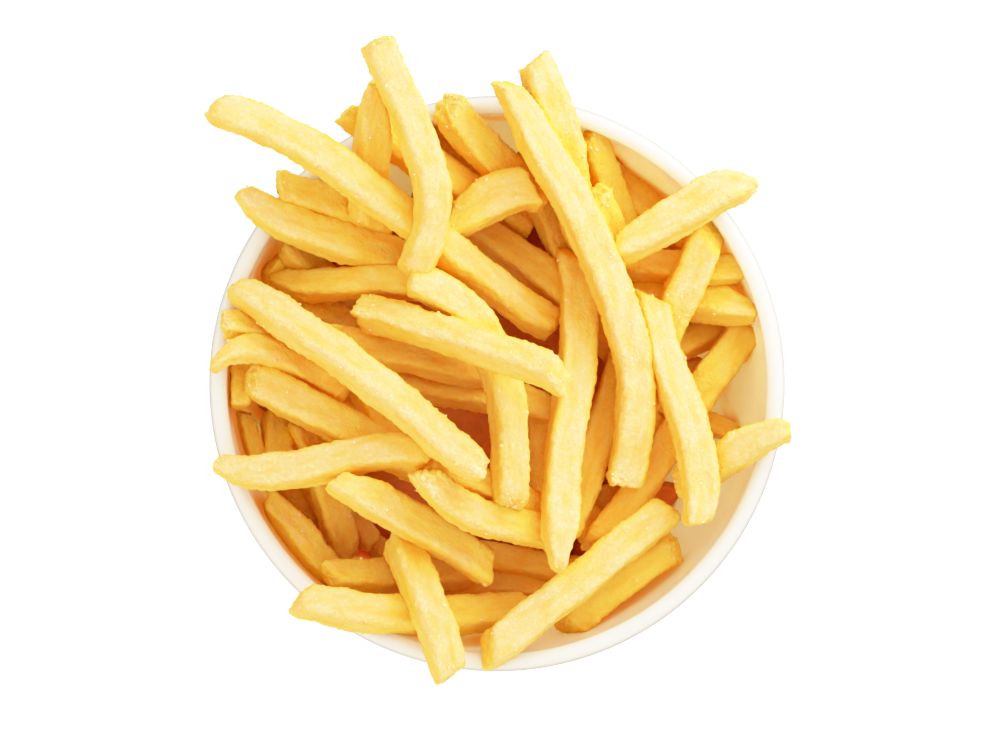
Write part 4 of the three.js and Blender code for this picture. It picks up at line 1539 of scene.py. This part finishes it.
# Share of the most grains there can be, at each point of the crust.
def strewnShare(tree, clumps, onEnds):
    if onEnds:
        values = {
            key: addNode(tree, "GeometryNodeInputNamedAttribute", {
                "Name": name,
            }, data_type="FLOAT").outputs[0]
            for key, name in (("crisp", "fryCrisp"), ("corner", "fryEdge"), ("tip", "fryTip"))
        }
    else:
        upward = addNode(tree, "GeometryNodeInputNormal").outputs[0]
        values = {"level": addNode(tree, "ShaderNodeSeparateXYZ", {0: upward}).outputs[2]}
    values["sky"] = addNode(tree, "GeometryNodeInputNamedAttribute", {
        "Name": "fryOpen",
    }, data_type="FLOAT").outputs[0]
    values["clump"] = clumps
    shares = {}
    for key, value in values.items():
        start, end, least, most = strewing[key]
        shares[key] = addNode(tree, "ShaderNodeMapRange", {
            "Value": value, "From Min": start, "From Max": end, "To Min": least, "To Max": most,
        }).outputs[0]
    if onEnds:
        dry = addNode(tree, "ShaderNodeMath", {
            0: shares["corner"], 1: shares["tip"],
        }, operation="MAXIMUM")
        most = addNode(tree, "ShaderNodeMath", {
            0: dry.outputs[0], 1: shares["crisp"],
        }, operation="MAXIMUM").outputs[0]
    else:
        most = shares["level"]
    share = addNode(tree, "ShaderNodeMath", {0: shares["sky"], 1: most}, operation="MULTIPLY")
    return addNode(tree, "ShaderNodeMath", {
        0: share.outputs[0], 1: shares["clump"],
    }, operation="MULTIPLY").outputs[0]


# Strews little grains over the fries where the sky sees them: along crisp ends and corners, or on top.
def strewnTree(name, shape, onEnds):
    tree, given = newTree(name, {
        "Fries": ("Collection", None),
        "Density": ("Float", 1000.0),
        "Least Size": ("Float", 0.0002),
        "Most Size": ("Float", 0.0005),
        "Knob Height": ("Float", 0.0),
        "Seed": ("Int", 0),
        "Material": ("Material", None),
    })
    fries = addNode(tree, "GeometryNodeCollectionInfo", {"Collection": given["Fries"]})
    solid = addNode(tree, "GeometryNodeRealizeInstances", {"Geometry": fries.outputs[0]})
    place = addNode(tree, "GeometryNodeInputPosition")
    clumps = addNode(tree, "ShaderNodeTexNoise", {
        "Vector": place.outputs[0], "Scale": strewing["clumpScale"], "Detail": 1.0,
    })
    density = addNode(tree, "ShaderNodeMath", {
        0: strewnShare(tree, clumps.outputs["Fac"], onEnds), 1: given["Density"],
    }, operation="MULTIPLY")
    points = addNode(tree, "GeometryNodeDistributePointsOnFaces", {
        "Mesh": solid.outputs[0], "Density": density.outputs[0], "Seed": given["Seed"],
    })
    turn = addNode(tree, "FunctionNodeRandomValue", {
        0: (0.0, 0.0, 0.0), 1: (strewing["fullTurn"],) * 3, "Seed": given["Seed"],
    }, data_type="FLOAT_VECTOR")
    smallest = addNode(tree, "ShaderNodeCombineXYZ", {i: given["Least Size"] for i in range(3)})
    largest = addNode(tree, "ShaderNodeCombineXYZ", {i: given["Most Size"] for i in range(3)})
    size = addNode(tree, "FunctionNodeRandomValue", {
        0: smallest.outputs[0], 1: largest.outputs[0], "Seed": given["Seed"],
    }, data_type="FLOAT_VECTOR")
    if shape == "lump":
        grain = addNode(tree, "GeometryNodeMeshIcoSphere", {"Radius": 1.0, "Subdivisions": 2})
    else:
        grain = addNode(tree, "GeometryNodeMeshCube", {"Size": (1.6, 1.6, 1.6)})
    strewn = addNode(tree, "GeometryNodeInstanceOnPoints", {
        "Points": points.outputs[0], "Instance": grain.outputs[0], "Rotation": turn.outputs[0],
        "Scale": size.outputs[0],
    })
    real = addNode(tree, "GeometryNodeRealizeInstances", {"Geometry": strewn.outputs[0]})
    knobs = addNode(tree, "ShaderNodeTexNoise", {
        "Vector": place.outputs[0], "Scale": strewing["knobScale"], "Detail": 1.0,
    })
    centred = addNode(tree, "ShaderNodeVectorMath", {
        0: knobs.outputs["Color"], 1: (0.5, 0.5, 0.5),
    }, operation="SUBTRACT")
    pushed = addNode(tree, "ShaderNodeVectorMath", {
        0: centred.outputs[0], "Scale": given["Knob Height"],
    }, operation="SCALE")
    knobbly = addNode(tree, "GeometryNodeSetPosition", {
        "Geometry": real.outputs[0], "Offset": pushed.outputs[0],
    })
    dressed = addNode(tree, "GeometryNodeSetMaterial", {
        "Geometry": knobbly.outputs[0], "Material": given["Material"],
    })
    addNode(tree, "NodeGroupOutput", {0: dressed.outputs[0]})
    return tree


heapGroup = bpy.data.collections.new("heap")
for piece in fryPieces:
    heapGroup.objects.link(piece)
crumbs = growPiece(
    "crumbs", bpy.data.meshes.new("crumbs"), strewnTree("crumbs", "lump", True),
    {"Fries": heapGroup, "Material": grainMaterial(crumbLooks), **crumbSettings},
)
salt = growPiece(
    "salt", bpy.data.meshes.new("salt"), strewnTree("salt", "cube", False),
    {"Fries": heapGroup, "Material": grainMaterial(saltLooks), **saltSettings},
)
bpy.data.collections.remove(heapGroup)
print("crumbs and salt:", len(crumbs.data.polygons), len(salt.data.polygons))


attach(bowl, "root")
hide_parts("bowl")
for piece in fryPieces + [crumbs, salt]:
    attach(piece, "root")
    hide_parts("fries")
